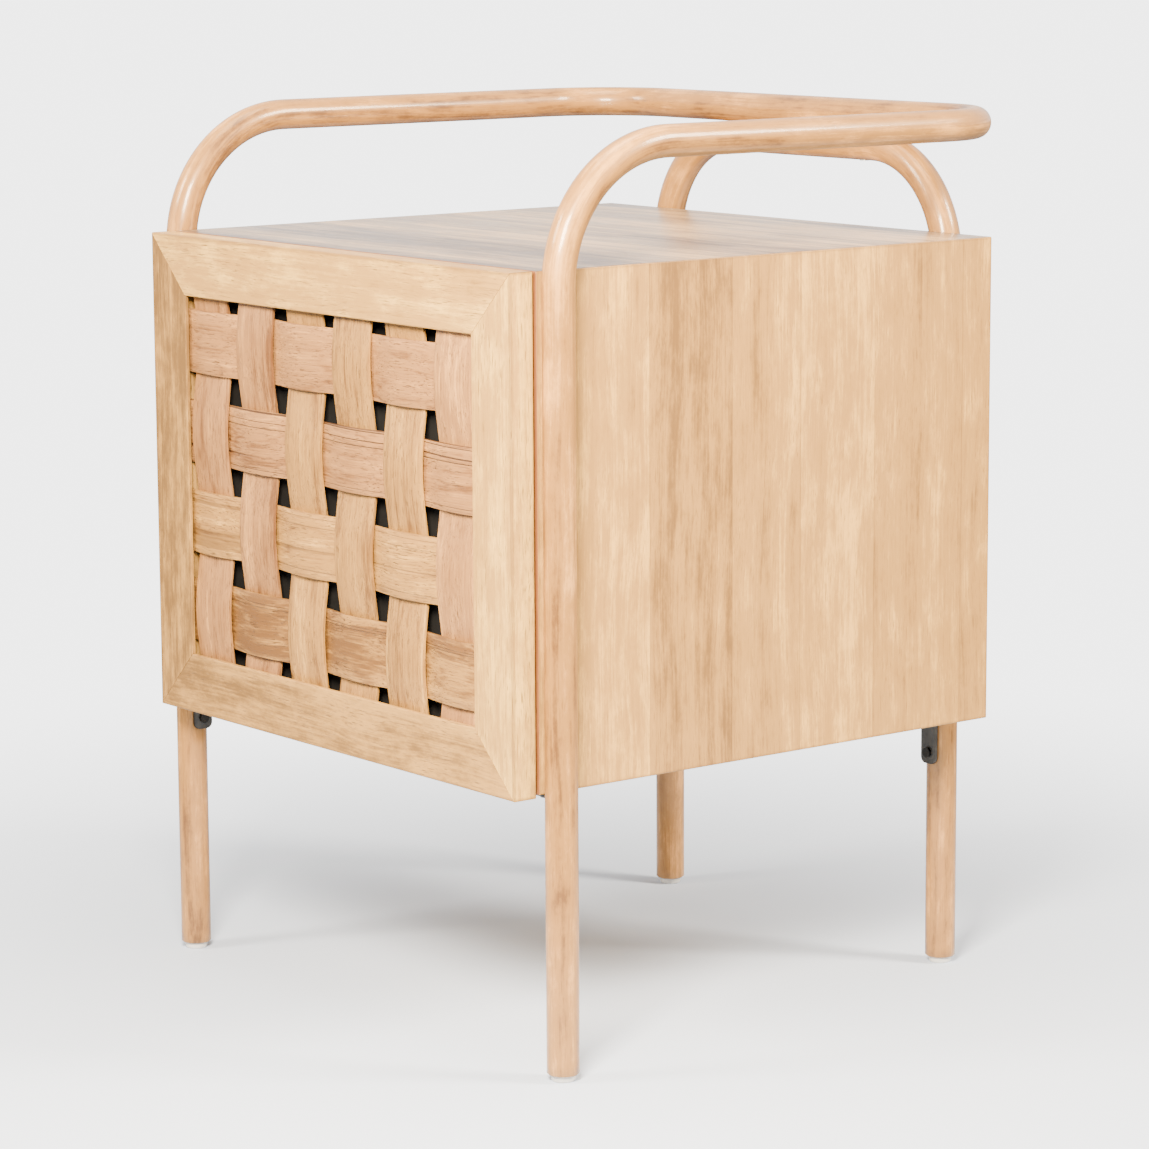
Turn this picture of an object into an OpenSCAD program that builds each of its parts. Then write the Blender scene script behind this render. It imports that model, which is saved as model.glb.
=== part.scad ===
// Side table with one deep drawer: a mitred timber case, a woven-panel drawer front,
// and a frame of two bent round poles. Millimetres, +Z up, front of the table at -Y,
// origin on the floor under the centre of the whole table.

/* [Case] */
// Width of the case across its side panels
case_w = 461; // [400:1:560]
// Height of the case, underside of the bottom panel to the top
case_h = 369; // [330:1:430]
// Depth from the drawer front's face to the back of the case
body_d = 454; // [440:1:560]
// Floor to the underside of the case
leg_clear = 207; // [160:1:260]
// Thickness of the top, bottom and side panels
board_t = 18; // [16:1:20]
// Thickness of the back panel
back_t = 12; // [9:1:15]

/* [Poles] */
// Diameter of both bent poles
pole_d = 24; // [22:1:26]
// Bend radius where a front leg turns into an arm, on the centre line
arm_bend = 97; // [85:1:120]
// Bend radius where an arm turns into the back rail, on the centre line
rail_bend = 70; // [60:1:95]
// Bend radius at the top of the rear arch, on the centre line
arch_bend = 84; // [60:1:90]
// Height of the arm's centre line above the case top
arm_rise = 85.5; // [80:0.5:100]
// Drawer front's face to the front legs' centre line
front_leg_y = 34; // [34:0.5:40]
// Half the distance between the rear legs' centre lines
rear_leg_x = 168; // [150:1:190]
// Depth of the flat on each front leg where it bears on the case
leg_flat = 2; // [0.5:0.5:3]

/* [Drawer front] */
// Width of the drawer front
front_w = 460; // [400:1:460]
// How far the drawer front hangs below the case
front_drop = 2; // [0:0.5:3]
// Thickness of the frame members
member_t = 20; // [20:1:22]
// Width of the frame members
member_w = 46; // [40:1:55]
// Thickness of the lip in front of the weave
lip_t = 3; // [2.5:0.1:6.5]
// Depth of the rebate that holds the ends of the strips
rebate_w = 8; // [6:0.5:10]

/* [Weave] */
// Width of an upright strip
upright_w = 48; // [44:1:50]
// Width of a cross strip
cross_w = 50; // [46:1:52]
// Open gap between cross strips
cross_gap = 20; // [18:1:22]
// Thickness of every strip
strip_t = 2.4; // [2:0.1:2.4]
// How far a strip bows forward and back of the weave's middle plane
bow = 3; // [3:0.1:3.1]

/* [Drawer] */
// Thickness of the drawer box's sides, front and back
box_t = 12; // [12:1:14]
// Height of the drawer box
box_h = 250; // [200:1:270]
// Length of the drawer box behind the drawer front
box_d = 395; // [380:1:395]
// Length of the telescopic slides
slide_l = 395; // [380:1:395]

/* [Hidden] */
$fn = 64;
front_gap = 2;                                  // between the drawer front and the case edge
case_front_y = member_t + front_gap;
case_top_z = leg_clear + case_h;
inner_w = case_w - 2 * board_t;
inner_half = inner_w / 2;
pole_r = pole_d / 2;
front_leg_x = case_w / 2 + pole_r - leg_flat;
arch_y = body_d + pole_r;                       // also where the back rail lies
rail_z = case_top_z + arm_rise;                 // the rail lies right above the arch
rail_touch = 0.1;                               // air left between the rail and the arch
arch_z = rail_z - pole_d - rail_touch;
total_d = arch_y + pole_r;
glide_h = 5;
glide_r = 0.365 * pole_d;
end_chamfer = 1.2;

front_h = case_h + front_drop;
front_z = leg_clear - front_drop;
opening_w = front_w - 2 * member_w;
opening_h = front_h - 2 * member_w;
opening_z = front_z + member_w;
weave_y = lip_t + 0.1 + bow + strip_t / 2;      // middle plane of the weave
weave_clear = 1.4;                              // opening edge to the outer upright strips
strip_grip = rebate_w - 0.6;                    // how far a strip's end reaches into the rebate
upright_pitch = (opening_w - 2 * weave_clear - upright_w) / 5;
cross_pitch = cross_w + cross_gap;
cross_first_z = opening_z + opening_h / 2 - 1.5 * cross_pitch;
wave_steps = 10;                                // straight facets in half a wave
backing_t = 3;
backing_y = member_t - backing_t - 0.4;

slide_gap = 13;                                 // case side to drawer side
box_w = inner_w - 2 * slide_gap;
box_z = leg_clear + board_t + 30;
box_front_y = member_t + box_t;
box_back_y = member_t + box_d;
floor_t = 6;
groove = 4;                                     // how far the floor enters each wall of the drawer
floor_z = box_z + 12;
front_board_air = 4;                            // drawer's inner front to the case's top and bottom
slide_z = box_z + 105;
slide_y = case_front_y + 1;
metal_t = 1.2;
cabinet_half = 22.5;                            // half height of each slide member
middle_half = 18.2;
runner_half = 13.9;
channel_d = 9.5;                                // case side to the lips of the cabinet and middle members
middle_web = 3;                                 // case side to the middle member's web
runner_lip = 5;                                 // case side to the runner's lips
ball_r = 1.2;
ball_count = 8;
ball_x = 7;                                     // case side to the balls' centres
cage_l = 150;
cage_t = 0.8;
cage_y = slide_y + 125;
pan_r = 3.5;                                    // low heads of the slide screws
pan_h = 1;

bracket_t = 3;
bracket_w = 16;
bracket_leg = 30;                               // length of the level flange
front_drop_leg = 27;                            // length of a front bracket's upright flange
rear_drop_leg = 46;                             // length of a rear bracket's upright flange
bracket_back = 3;                               // front brackets sit this far behind the leg's middle
bracket_corner = 5;                             // radius of the flanges' free corners
leg_screw_up = 9;                               // upright flange's lower end to its screw
screw_r = 2;
head_r = 4;
head_h = 2;
bolt_r = 2.5;
bolt_head_r = 6;
bolt_head_h = 3;
fit = 0.1;                                      // radial clearance of every screw hole
pole_bite = 14;                                 // depth of a bolt in a pole
case_bite = 7;                                  // depth of a bracket's screw in the case
flat_over = 3;                                  // how far a front leg's flat goes past the case
front_bolt_z = [leg_clear + 60, case_top_z - 60];
slide_screw_y = [slide_y + 25, slide_y + slide_l / 2, slide_y + slide_l - 25];
rail_screw_x = rear_leg_x - arch_bend - 10;
rail_screw_l = 1.5 * pole_d - head_h;
rail_drill = 1.6 * pole_d;
slide_case_bite = 12;                           // length of a slide screw in the case's side
slide_drawer_bite = 9;                          // length of a slide screw in the drawer's side

pole_colour = "#c98d55";
case_colour = "#d8bd94";
strip_colour = "#cfa57c";
box_colour = "#dcc7a0";
steel_colour = "#9a9da0";
black_colour = "#1b1b1c";

// ---- shared helpers -------------------------------------------------------

// Moves what is drawn from the drawer front's face to the table's own origin.
module placed() { translate([0, -total_d / 2, 0]) children(); }

// Draws its children once as they are and once mirrored to the other side.
module both_sides() {
    for (side = [0, 1]) mirror([side, 0, 0]) children();
}

// A round screw along +Z with its head below the origin.
module screw(shank_r, length, cap_r, cap_h) {
    cylinder(r = shank_r, h = length);
    translate([0, 0, -cap_h]) cylinder(r = cap_r, h = cap_h);
}

// A block given by its two corners.
module block(low, high) { translate(low) cube(high - low); }

// A quarter of a ring of the pole's section, in the X-Y plane, from +X to +Y.
module pole_bend(bend_r) {
    rotate_extrude(angle = 90, $fn = 96) translate([bend_r, 0]) circle(r = pole_r);
}

// A straight, upright length of pole.
module pole_length(length) { cylinder(r = pole_r, h = length); }

// An upright leg with a chamfered foot, from the glide up to a given height.
module pole_leg(top_z) {
    translate([0, 0, glide_h]) cylinder(r1 = pole_r - end_chamfer, r2 = pole_r, h = end_chamfer);
    translate([0, 0, glide_h + end_chamfer]) pole_length(top_z - glide_h - end_chamfer);
}

// ---- case -----------------------------------------------------------------

// The outline of the mitred top: long above, short below.
module top_panel() {
    color(case_colour) placed()
        translate([0, body_d, case_top_z]) rotate([90, 0, 0])
            linear_extrude(body_d - case_front_y)
                polygon([[-case_w / 2, 0], [case_w / 2, 0], [inner_half, -board_t], [-inner_half, -board_t]]);
}

module bottom_panel() {
    color(case_colour) placed() difference() {
        translate([0, body_d, leg_clear]) rotate([90, 0, 0])
            linear_extrude(body_d - case_front_y)
                polygon([[-case_w / 2, 0], [case_w / 2, 0], [inner_half, board_t], [-inner_half, board_t]]);
        bracket_case_holes();
    }
}

// The left side: mitred top and bottom, drilled for the pole bolts and the slide.
module side_panel() {
    difference() {
        translate([0, body_d, leg_clear]) rotate([90, 0, 0])
            linear_extrude(body_d - case_front_y)
                polygon([[-case_w / 2, 0], [-inner_half, board_t], [-inner_half, case_h - board_t],
                    [-case_w / 2, case_h]]);
        front_bolt_holes();
        slide_case_drill(screw_r + fit);
    }
}
module side_panel_left() { color(case_colour) placed() side_panel(); }
module side_panel_right() { color(case_colour) placed() mirror([1, 0, 0]) side_panel(); }

module back_panel() {
    color(case_colour) placed() difference() {
        block([-inner_half, body_d - back_t, leg_clear + board_t],
            [inner_half, body_d, case_top_z - board_t]);
        both_sides() rear_bolt_holes();
    }
}

// ---- poles ----------------------------------------------------------------

// Half of the long pole: front leg, bend, arm, corner bend and half of the back rail.
module loop_half() {
    translate([-front_leg_x, front_leg_y, 0]) pole_leg(rail_z - arm_bend);
    translate([-front_leg_x, front_leg_y + arm_bend, rail_z - arm_bend])
        rotate([0, -90, 0]) rotate([0, 0, -90]) pole_bend(arm_bend);
    translate([-front_leg_x, front_leg_y + arm_bend, rail_z])
        rotate([-90, 0, 0]) pole_length(arch_y - rail_bend - front_leg_y - arm_bend);
    translate([-front_leg_x + rail_bend, arch_y - rail_bend, rail_z])
        rotate([0, 0, 90]) pole_bend(rail_bend);
    translate([-front_leg_x + rail_bend, arch_y, rail_z])
        rotate([0, 90, 0]) pole_length(front_leg_x - rail_bend);
}

module loop_pole() {
    color(pole_colour) placed() difference() {
        both_sides() loop_half();
        both_sides() {
            front_bolt_holes();
            bracket_front_holes();
            rail_screw_holes();
        }
        block([-case_w / 2, 0, leg_clear - front_drop_leg - flat_over],
            [case_w / 2, body_d, case_top_z + flat_over]);
    }
}

// Half of the rear arch: a rear leg, its bend and half of the crown.
module arch_half() {
    translate([-rear_leg_x, arch_y, 0]) pole_leg(arch_z - arch_bend);
    translate([-rear_leg_x + arch_bend, arch_y, arch_z - arch_bend])
        rotate([90, 0, 0]) rotate([0, 0, 90]) pole_bend(arch_bend);
    translate([-rear_leg_x + arch_bend, arch_y, arch_z])
        rotate([0, 90, 0]) pole_length(rear_leg_x - arch_bend);
}

module arch_pole() {
    color(pole_colour) placed() difference() {
        both_sides() arch_half();
        both_sides() {
            rear_bolt_holes();
            bracket_rear_holes();
            rail_screw_holes();
        }
    }
}

// Puts a screw on the line from the arch's centre to the rail's, entering from below.
module at_rail_screw() { translate([rail_screw_x, arch_y, arch_z]) children(); }
module rail_screw_holes() {
    at_rail_screw() translate([0, 0, -pole_r - head_h])
        cylinder(r = screw_r + fit, h = head_h + rail_drill);
    at_rail_screw() translate([0, 0, -pole_r - head_h]) cylinder(r = head_r + fit, h = 2 * head_h);
}
module rail_screws() {
    color(steel_colour) placed() both_sides() at_rail_screw() translate([0, 0, head_h - pole_r])
        screw(screw_r, rail_screw_l, head_r, head_h);
}

// Two bolts from inside the case through its left side into the front leg.
module at_front_bolts() {
    for (z = front_bolt_z)
        translate([-inner_half, front_leg_y, z]) rotate([0, -90, 0]) children();
}
module front_bolt_holes() { at_front_bolts() cylinder(r = bolt_r + fit, h = board_t + pole_bite + 1); }

// Two bolts from inside the case through its back into the left rear leg.
module at_rear_bolts() {
    for (z = front_bolt_z)
        translate([-rear_leg_x, body_d - back_t, z]) rotate([-90, 0, 0]) children();
}
module rear_bolt_holes() { at_rear_bolts() cylinder(r = bolt_r + fit, h = back_t + pole_bite + 1); }

module pole_bolts() {
    color(steel_colour) placed() both_sides() {
        at_front_bolts() screw(bolt_r, board_t + pole_bite, bolt_head_r, bolt_head_h);
        at_rear_bolts() screw(bolt_r, back_t + pole_bite, bolt_head_r, bolt_head_h);
    }
}

// ---- brackets -------------------------------------------------------------

// One bracket with its upright flange in the plane x = 0 and its level flange along +X.
module bracket(drop) {
    difference() {
        union() {
            translate([0, 0, -drop]) rotate([90, 0, 90]) linear_extrude(bracket_t)
                bracket_flange(drop);
            translate([bracket_leg, 0, -bracket_t]) rotate([0, 0, 90])
                linear_extrude(bracket_t) bracket_flange(bracket_leg);
        }
        at_bracket_leg_screw(drop) translate([0, 0, -1]) cylinder(r = screw_r + fit, h = bracket_t + 2);
        at_bracket_case_screws() translate([0, 0, -1]) cylinder(r = screw_r + fit, h = bracket_t + 2);
    }
}

// A flange's outline: square where it meets the bend, round at its free corners.
module bracket_flange(length) {
    half = bracket_w / 2;
    corner = bracket_corner;
    difference() {
        translate([-half, 0]) square([bracket_w, length]);
        for (side = [-1, 1]) translate([side * half, 0]) difference() {
            translate([side > 0 ? -corner : -1, -1]) square([corner + 1, corner + 1]);
            translate([-side * corner, corner]) circle(r = corner);
        }
    }
}

// The screw of the upright flange points to the pole along -X, its head on the +X face.
module at_bracket_leg_screw(drop) {
    translate([bracket_t, 0, leg_screw_up - drop]) rotate([0, -90, 0]) children();
}

// The two screws of the level flange point up, their heads under the flange.
module at_bracket_case_screws() {
    for (x = [0.4, 0.78]) translate([x * bracket_leg, 0, -bracket_t]) children();
}

module at_front_bracket() {
    translate([-case_w / 2, front_leg_y + bracket_back, leg_clear]) children();
}
module at_rear_bracket() { translate([-rear_leg_x, body_d, leg_clear]) rotate([0, 0, -90]) children(); }

module bracket_front_left() {
    color(black_colour) placed() at_front_bracket() bracket(front_drop_leg);
}
module bracket_front_right() {
    color(black_colour) placed() mirror([1, 0, 0]) at_front_bracket() bracket(front_drop_leg);
}
module bracket_rear_left() { color(black_colour) placed() at_rear_bracket() bracket(rear_drop_leg); }
module bracket_rear_right() {
    color(black_colour) placed() mirror([1, 0, 0]) at_rear_bracket() bracket(rear_drop_leg);
}

module bracket_front_holes() {
    at_front_bracket() at_bracket_leg_screw(front_drop_leg)
        cylinder(r = screw_r + fit, h = bracket_t + pole_bite + 1);
}
module bracket_rear_holes() {
    at_rear_bracket() at_bracket_leg_screw(rear_drop_leg)
        cylinder(r = screw_r + fit, h = bracket_t + pole_bite + 1);
}
module bracket_case_holes() {
    both_sides() {
        at_front_bracket() at_bracket_case_screws()
            cylinder(r = screw_r + fit, h = bracket_t + case_bite + 1);
        at_rear_bracket() at_bracket_case_screws()
            cylinder(r = screw_r + fit, h = bracket_t + case_bite + 1);
    }
}
module bracket_pole_screws() {
    color(black_colour) placed() both_sides() {
        at_front_bracket() at_bracket_leg_screw(front_drop_leg)
            screw(screw_r, bracket_t + pole_bite, head_r, head_h);
        at_rear_bracket() at_bracket_leg_screw(rear_drop_leg)
            screw(screw_r, bracket_t + pole_bite, head_r, head_h);
    }
}
module bracket_case_screws() {
    color(black_colour) placed() both_sides() {
        at_front_bracket() at_bracket_case_screws() screw(screw_r, bracket_t + case_bite, head_r, head_h);
        at_rear_bracket() at_bracket_case_screws() screw(screw_r, bracket_t + case_bite, head_r, head_h);
    }
}

// ---- glides ---------------------------------------------------------------

// A round nylon glide: a short taper with a flat foot.
module glide(x, y) {
    foot = 1.5;
    color("#e6e3da") placed() translate([x, y, 0]) {
        cylinder(r1 = glide_r - foot / 2, r2 = glide_r, h = foot);
        translate([0, 0, foot]) cylinder(r = glide_r, h = glide_h - foot);
    }
}
module glide_front_left() { glide(-front_leg_x, front_leg_y); }
module glide_front_right() { glide(front_leg_x, front_leg_y); }
module glide_rear_left() { glide(-rear_leg_x, arch_y); }
module glide_rear_right() { glide(rear_leg_x, arch_y); }

// ---- drawer front ---------------------------------------------------------

// One mitred, rebated member lying along X, its outer edge at z = 0 and its opening above.
module member(length) {
    solid_w = member_w - rebate_w;
    intersection() {
        translate([-length / 2, 0, 0]) rotate([90, 0, 90]) linear_extrude(length)
            polygon([[0, 0], [0, member_w], [lip_t, member_w], [lip_t, solid_w], [member_t, solid_w],
                [member_t, 0]]);
        translate([0, member_t, 0]) rotate([90, 0, 0]) linear_extrude(member_t)
            polygon([[-length / 2, 0], [length / 2, 0], [length / 2 - member_w, member_w],
                [member_w - length / 2, member_w]]);
    }
}

module front_rail_bottom() {
    color(case_colour) placed() difference() {
        translate([0, 0, front_z]) member(front_w);
        front_screw_holes();
    }
}
module front_rail_top() {
    color(case_colour) placed() difference() {
        translate([0, 0, front_z + front_h]) mirror([0, 0, 1]) member(front_w);
        front_screw_holes();
    }
}
module stile() { translate([-front_w / 2, 0, front_z + front_h / 2]) rotate([0, 90, 0]) member(front_h); }
module front_stile_left() { color(case_colour) placed() stile(); }
module front_stile_right() { color(case_colour) placed() mirror([1, 0, 0]) stile(); }

// Points of a strip's edge-on outline: half waves of the given pitch about a first crossing.
function wave_edge(from, to, first, pitch, side, shift) =
    let(steps = ceil((to - from) / pitch * wave_steps))
    [for (i = [0:steps]) let(s = from + (to - from) * i / steps)
        [s, side * bow * cos(180 * (s - first) / pitch) + shift]];
function reversed(list) = [for (i = [len(list) - 1:-1:0]) list[i]];

// A bowed strip lying along X: side is -1 where it passes in front at the first crossing.
module strip(from, to, first, pitch, side, width) {
    translate([0, 0, -width / 2]) linear_extrude(width)
        polygon(concat(wave_edge(from, to, first, pitch, side, strip_t / 2),
            reversed(wave_edge(from, to, first, pitch, side, -strip_t / 2))));
}

function upright_x(i) = -opening_w / 2 + weave_clear + upright_w / 2 + (i - 1) * upright_pitch;
function cross_z(i) = cross_first_z + (4 - i) * cross_pitch;

// Upright strip i from the left, standing on end so that it runs up the opening.
module upright(i) {
    half = opening_h / 2 + strip_grip;
    mid_z = opening_z + opening_h / 2;
    color(strip_colour) placed() translate([upright_x(i), weave_y, mid_z])
        rotate([0, -90, 0])
            strip(-half, half, cross_z(4) - mid_z, cross_pitch, i % 2 == 1 ? -1 : 1, upright_w);
}
// Cross strip i from the top.
module cross(i) {
    half = opening_w / 2 + strip_grip;
    color(strip_colour) placed() translate([0, weave_y, cross_z(i)])
        strip(-half, half, upright_x(1), upright_pitch, i % 2 == 1 ? -1 : 1, cross_w);
}
module weave_upright_1() { upright(1); }
module weave_upright_2() { upright(2); }
module weave_upright_3() { upright(3); }
module weave_upright_4() { upright(4); }
module weave_upright_5() { upright(5); }
module weave_upright_6() { upright(6); }
module weave_cross_1() { cross(1); }
module weave_cross_2() { cross(2); }
module weave_cross_3() { cross(3); }
module weave_cross_4() { cross(4); }

module weave_backing() {
    reach_x = opening_w / 2 + strip_grip;
    reach_z = opening_h / 2 + strip_grip;
    mid_z = opening_z + opening_h / 2;
    color(black_colour) placed()
        block([-reach_x, backing_y, mid_z - reach_z], [reach_x, backing_y + backing_t, mid_z + reach_z]);
}

// Four screws from inside the drawer through its inner front into the two rails.
module at_front_screws() {
    for (z = [front_z + member_w / 2 + 8, front_z + front_h - member_w / 2 - 8])
        translate([-front_w / 4, box_front_y, z]) rotate([90, 0, 0]) children();
}
module front_screw_holes() { both_sides() at_front_screws() cylinder(r = screw_r + fit, h = 2 * box_t); }
module front_screws() {
    color(steel_colour) placed() both_sides() at_front_screws() screw(screw_r, 2 * box_t - 1, head_r, head_h);
}

// ---- drawer box -----------------------------------------------------------

// The black inner front: it fills the case opening behind the woven panel.
module drawer_box_front() {
    color(black_colour) placed() difference() {
        block([-box_w / 2, member_t, leg_clear + board_t + front_board_air],
            [box_w / 2, box_front_y, case_top_z - board_t - front_board_air]);
        front_screw_holes();
        drawer_floor_space();
    }
}
module drawer_side() {
    difference() {
        block([-box_w / 2, box_front_y, box_z], [box_t - box_w / 2, box_back_y, box_z + box_h]);
        drawer_floor_space();
        slide_drawer_drill(screw_r + fit);
    }
}
module drawer_side_left() { color(box_colour) placed() drawer_side(); }
module drawer_side_right() { color(box_colour) placed() mirror([1, 0, 0]) drawer_side(); }
module drawer_box_back() {
    color(box_colour) placed() difference() {
        block([box_t - box_w / 2, box_back_y - box_t, box_z], [box_w / 2 - box_t, box_back_y, box_z + box_h]);
        drawer_floor_space();
    }
}

// The floor with the given air all round; it runs in grooves in all four walls.
module floor_board(air) {
    half = box_w / 2 - box_t + groove + air;
    block([-half, box_front_y - groove - air, floor_z - air],
        [half, box_back_y - box_t + groove + air, floor_z + floor_t + air]);
}
module drawer_floor_space() { floor_board(fit); }
module drawer_floor() { color(box_colour) placed() floor_board(0); }

// ---- slides ---------------------------------------------------------------

// Draws its children in the left slide's own frame: x from the case side, z from mid height.
module at_slide() { translate([-inner_half, slide_y, slide_z]) children(); }

// A channel section along Y: its web from web_x to web_x + metal_t, its lips out to lip_x.
module channel(web_x, lip_x, half) {
    low = min(web_x, lip_x);
    high = max(web_x + metal_t, lip_x);
    translate([web_x, 0, -half]) cube([metal_t, slide_l, 2 * half]);
    for (z = [-half, half - metal_t]) translate([low, 0, z]) cube([high - low, slide_l, metal_t]);
}

module slide_cabinet() {
    difference() {
        at_slide() channel(0, channel_d, cabinet_half);
        slide_case_drill(screw_r + fit);
    }
}
module slide_middle() { at_slide() channel(middle_web, channel_d, middle_half); }
module slide_runner() {
    difference() {
        at_slide() channel(slide_gap - metal_t, runner_lip, runner_half);
        slide_drawer_drill(screw_r + fit);
    }
}

// Two cage strips with their balls, above and below, centred on the given height.
module ball_cage(height) {
    translate([-inner_half + ball_x, cage_y, slide_z]) for (z = [-height, height]) translate([0, 0, z]) {
        translate([-ball_r, 0, -cage_t / 2]) cube([2 * ball_r, cage_l, cage_t]);
        for (i = [0:ball_count - 1])
            translate([0, (i + 0.5) * cage_l / ball_count, 0]) sphere(r = ball_r, $fn = 24);
    }
}
outer_cage_z = (cabinet_half - metal_t + middle_half) / 2;
inner_cage_z = (middle_half - metal_t + runner_half) / 2;

module slide_cabinet_left() { color(steel_colour) placed() slide_cabinet(); }
module slide_cabinet_right() { color(steel_colour) placed() mirror([1, 0, 0]) slide_cabinet(); }
module slide_middle_left() { color(steel_colour) placed() slide_middle(); }
module slide_middle_right() { color(steel_colour) placed() mirror([1, 0, 0]) slide_middle(); }
module slide_runner_left() { color(steel_colour) placed() slide_runner(); }
module slide_runner_right() { color(steel_colour) placed() mirror([1, 0, 0]) slide_runner(); }
module ball_cage_outer_left() { color(black_colour) placed() ball_cage(outer_cage_z); }
module ball_cage_outer_right() { color(black_colour) placed() mirror([1, 0, 0]) ball_cage(outer_cage_z); }
module ball_cage_inner_left() { color(black_colour) placed() ball_cage(inner_cage_z); }
module ball_cage_inner_right() { color(black_colour) placed() mirror([1, 0, 0]) ball_cage(inner_cage_z); }

// Screws of the left slide: into the case side, and into the drawer side.
module at_slide_case_screws() {
    for (y = slide_screw_y)
        translate([metal_t - inner_half, y, slide_z]) rotate([0, -90, 0]) children();
}
module slide_case_drill(hole_r) {
    at_slide_case_screws() translate([0, 0, -1]) cylinder(r = hole_r, h = slide_case_bite + 2);
}
module at_slide_drawer_screws() {
    for (y = slide_screw_y)
        translate([slide_gap - metal_t - inner_half, y, slide_z]) rotate([0, 90, 0]) children();
}
module slide_drawer_drill(hole_r) {
    at_slide_drawer_screws() translate([0, 0, -1]) cylinder(r = hole_r, h = slide_drawer_bite + 2);
}
module slide_case_screws() {
    color(steel_colour) placed() both_sides() at_slide_case_screws()
        screw(screw_r, slide_case_bite, pan_r, pan_h);
}
module slide_drawer_screws() {
    color(steel_colour) placed() both_sides() at_slide_drawer_screws()
        screw(screw_r, slide_drawer_bite, pan_r, pan_h);
}

top_panel();
bottom_panel();
side_panel_left();
side_panel_right();
back_panel();
loop_pole();
arch_pole();
rail_screws();
pole_bolts();
bracket_front_left();
bracket_front_right();
bracket_rear_left();
bracket_rear_right();
bracket_pole_screws();
bracket_case_screws();
glide_front_left();
glide_front_right();
glide_rear_left();
glide_rear_right();
front_rail_top();
front_rail_bottom();
front_stile_left();
front_stile_right();
weave_upright_1();
weave_upright_2();
weave_upright_3();
weave_upright_4();
weave_upright_5();
weave_upright_6();
weave_cross_1();
weave_cross_2();
weave_cross_3();
weave_cross_4();
weave_backing();
front_screws();
drawer_box_front();
drawer_box_back();
drawer_side_left();
drawer_side_right();
drawer_floor();
slide_cabinet_left();
slide_cabinet_right();
slide_middle_left();
slide_middle_right();
slide_runner_left();
slide_runner_right();
ball_cage_outer_left();
ball_cage_outer_right();
ball_cage_inner_left();
ball_cage_inner_right();
slide_case_screws();
slide_drawer_screws();
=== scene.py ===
"""Side table with one deep drawer: timber case, woven drawer front, two bent poles.

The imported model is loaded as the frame.  Each sub-assembly is a class that builds
its pieces over the frame and dresses them; the finishes are small classes of their
own.  Everything is in metres, +Z up, the front of the table at -Y.
"""

import logging
import math
from dataclasses import dataclass, field
from enum import Enum
from functools import cached_property
from typing import Callable, Iterable, Optional, Sequence

import bmesh
import bpy
from bmesh.types import BMEdge, BMesh, BMVert
from bpy.types import ID, Material, Node, NodeSocket, NodeTree, Object
from mathutils import Matrix, Vector, noise


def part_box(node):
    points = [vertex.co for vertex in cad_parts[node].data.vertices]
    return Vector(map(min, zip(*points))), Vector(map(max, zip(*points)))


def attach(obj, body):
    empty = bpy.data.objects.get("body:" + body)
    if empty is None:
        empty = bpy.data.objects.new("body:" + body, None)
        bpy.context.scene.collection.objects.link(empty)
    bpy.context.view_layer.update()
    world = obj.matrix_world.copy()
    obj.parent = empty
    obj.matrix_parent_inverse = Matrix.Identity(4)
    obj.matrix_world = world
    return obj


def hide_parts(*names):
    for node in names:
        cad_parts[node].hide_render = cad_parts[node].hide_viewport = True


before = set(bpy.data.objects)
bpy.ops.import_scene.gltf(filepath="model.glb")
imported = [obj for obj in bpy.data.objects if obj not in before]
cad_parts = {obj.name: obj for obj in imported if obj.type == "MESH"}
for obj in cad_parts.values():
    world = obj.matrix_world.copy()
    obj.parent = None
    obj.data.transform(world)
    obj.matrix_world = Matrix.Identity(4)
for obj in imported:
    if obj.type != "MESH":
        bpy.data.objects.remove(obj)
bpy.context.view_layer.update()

LOG = logging.getLogger("side_table")
MM = 0.001
HAIR = 1e-6
SPLIT_REACH = 1e-7
SHARP = math.radians(40)
Colour = tuple[float, float, float, float]


class Body(str, Enum):
    """The moving bodies that new pieces ride on."""

    CASE = "case"
    DRAWER = "drawer"


class Grain(Enum):
    """Direction of the grain on a piece, as the turn that lays it along X."""

    ALONG_X = (0.0, 0.0, 0.0)
    ALONG_Y = (0.0, 0.0, -math.pi / 2)
    ALONG_Z = (0.0, math.pi / 2, 0.0)
    ALONG_POLE = (0.0, math.pi / 2, 0.001)


def shade(code: str) -> Colour:
    """Turns a display colour into the linear one that shaders use.

    Args:
        code: six hexadecimal digits, red first.

    Returns:
        Red, green, blue and alpha, linear.
    """
    parts = [int(code[i:i + 2], 16) / 255 for i in (0, 2, 4)]
    linear = [c / 12.92 if c <= 0.04045 else ((c + 0.055) / 1.055) ** 2.4 for c in parts]
    return (linear[0], linear[1], linear[2], 1.0)


# ---- mesh tools ----


def add_object(name: str, data: ID) -> Object:
    """Adds an object to the scene, at the origin.

    Args:
        name: its name.
        data: its mesh, camera or light.

    Returns:
        The object.
    """
    made = bpy.data.objects.new(name, data)
    bpy.context.scene.collection.objects.link(made)
    return made


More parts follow.
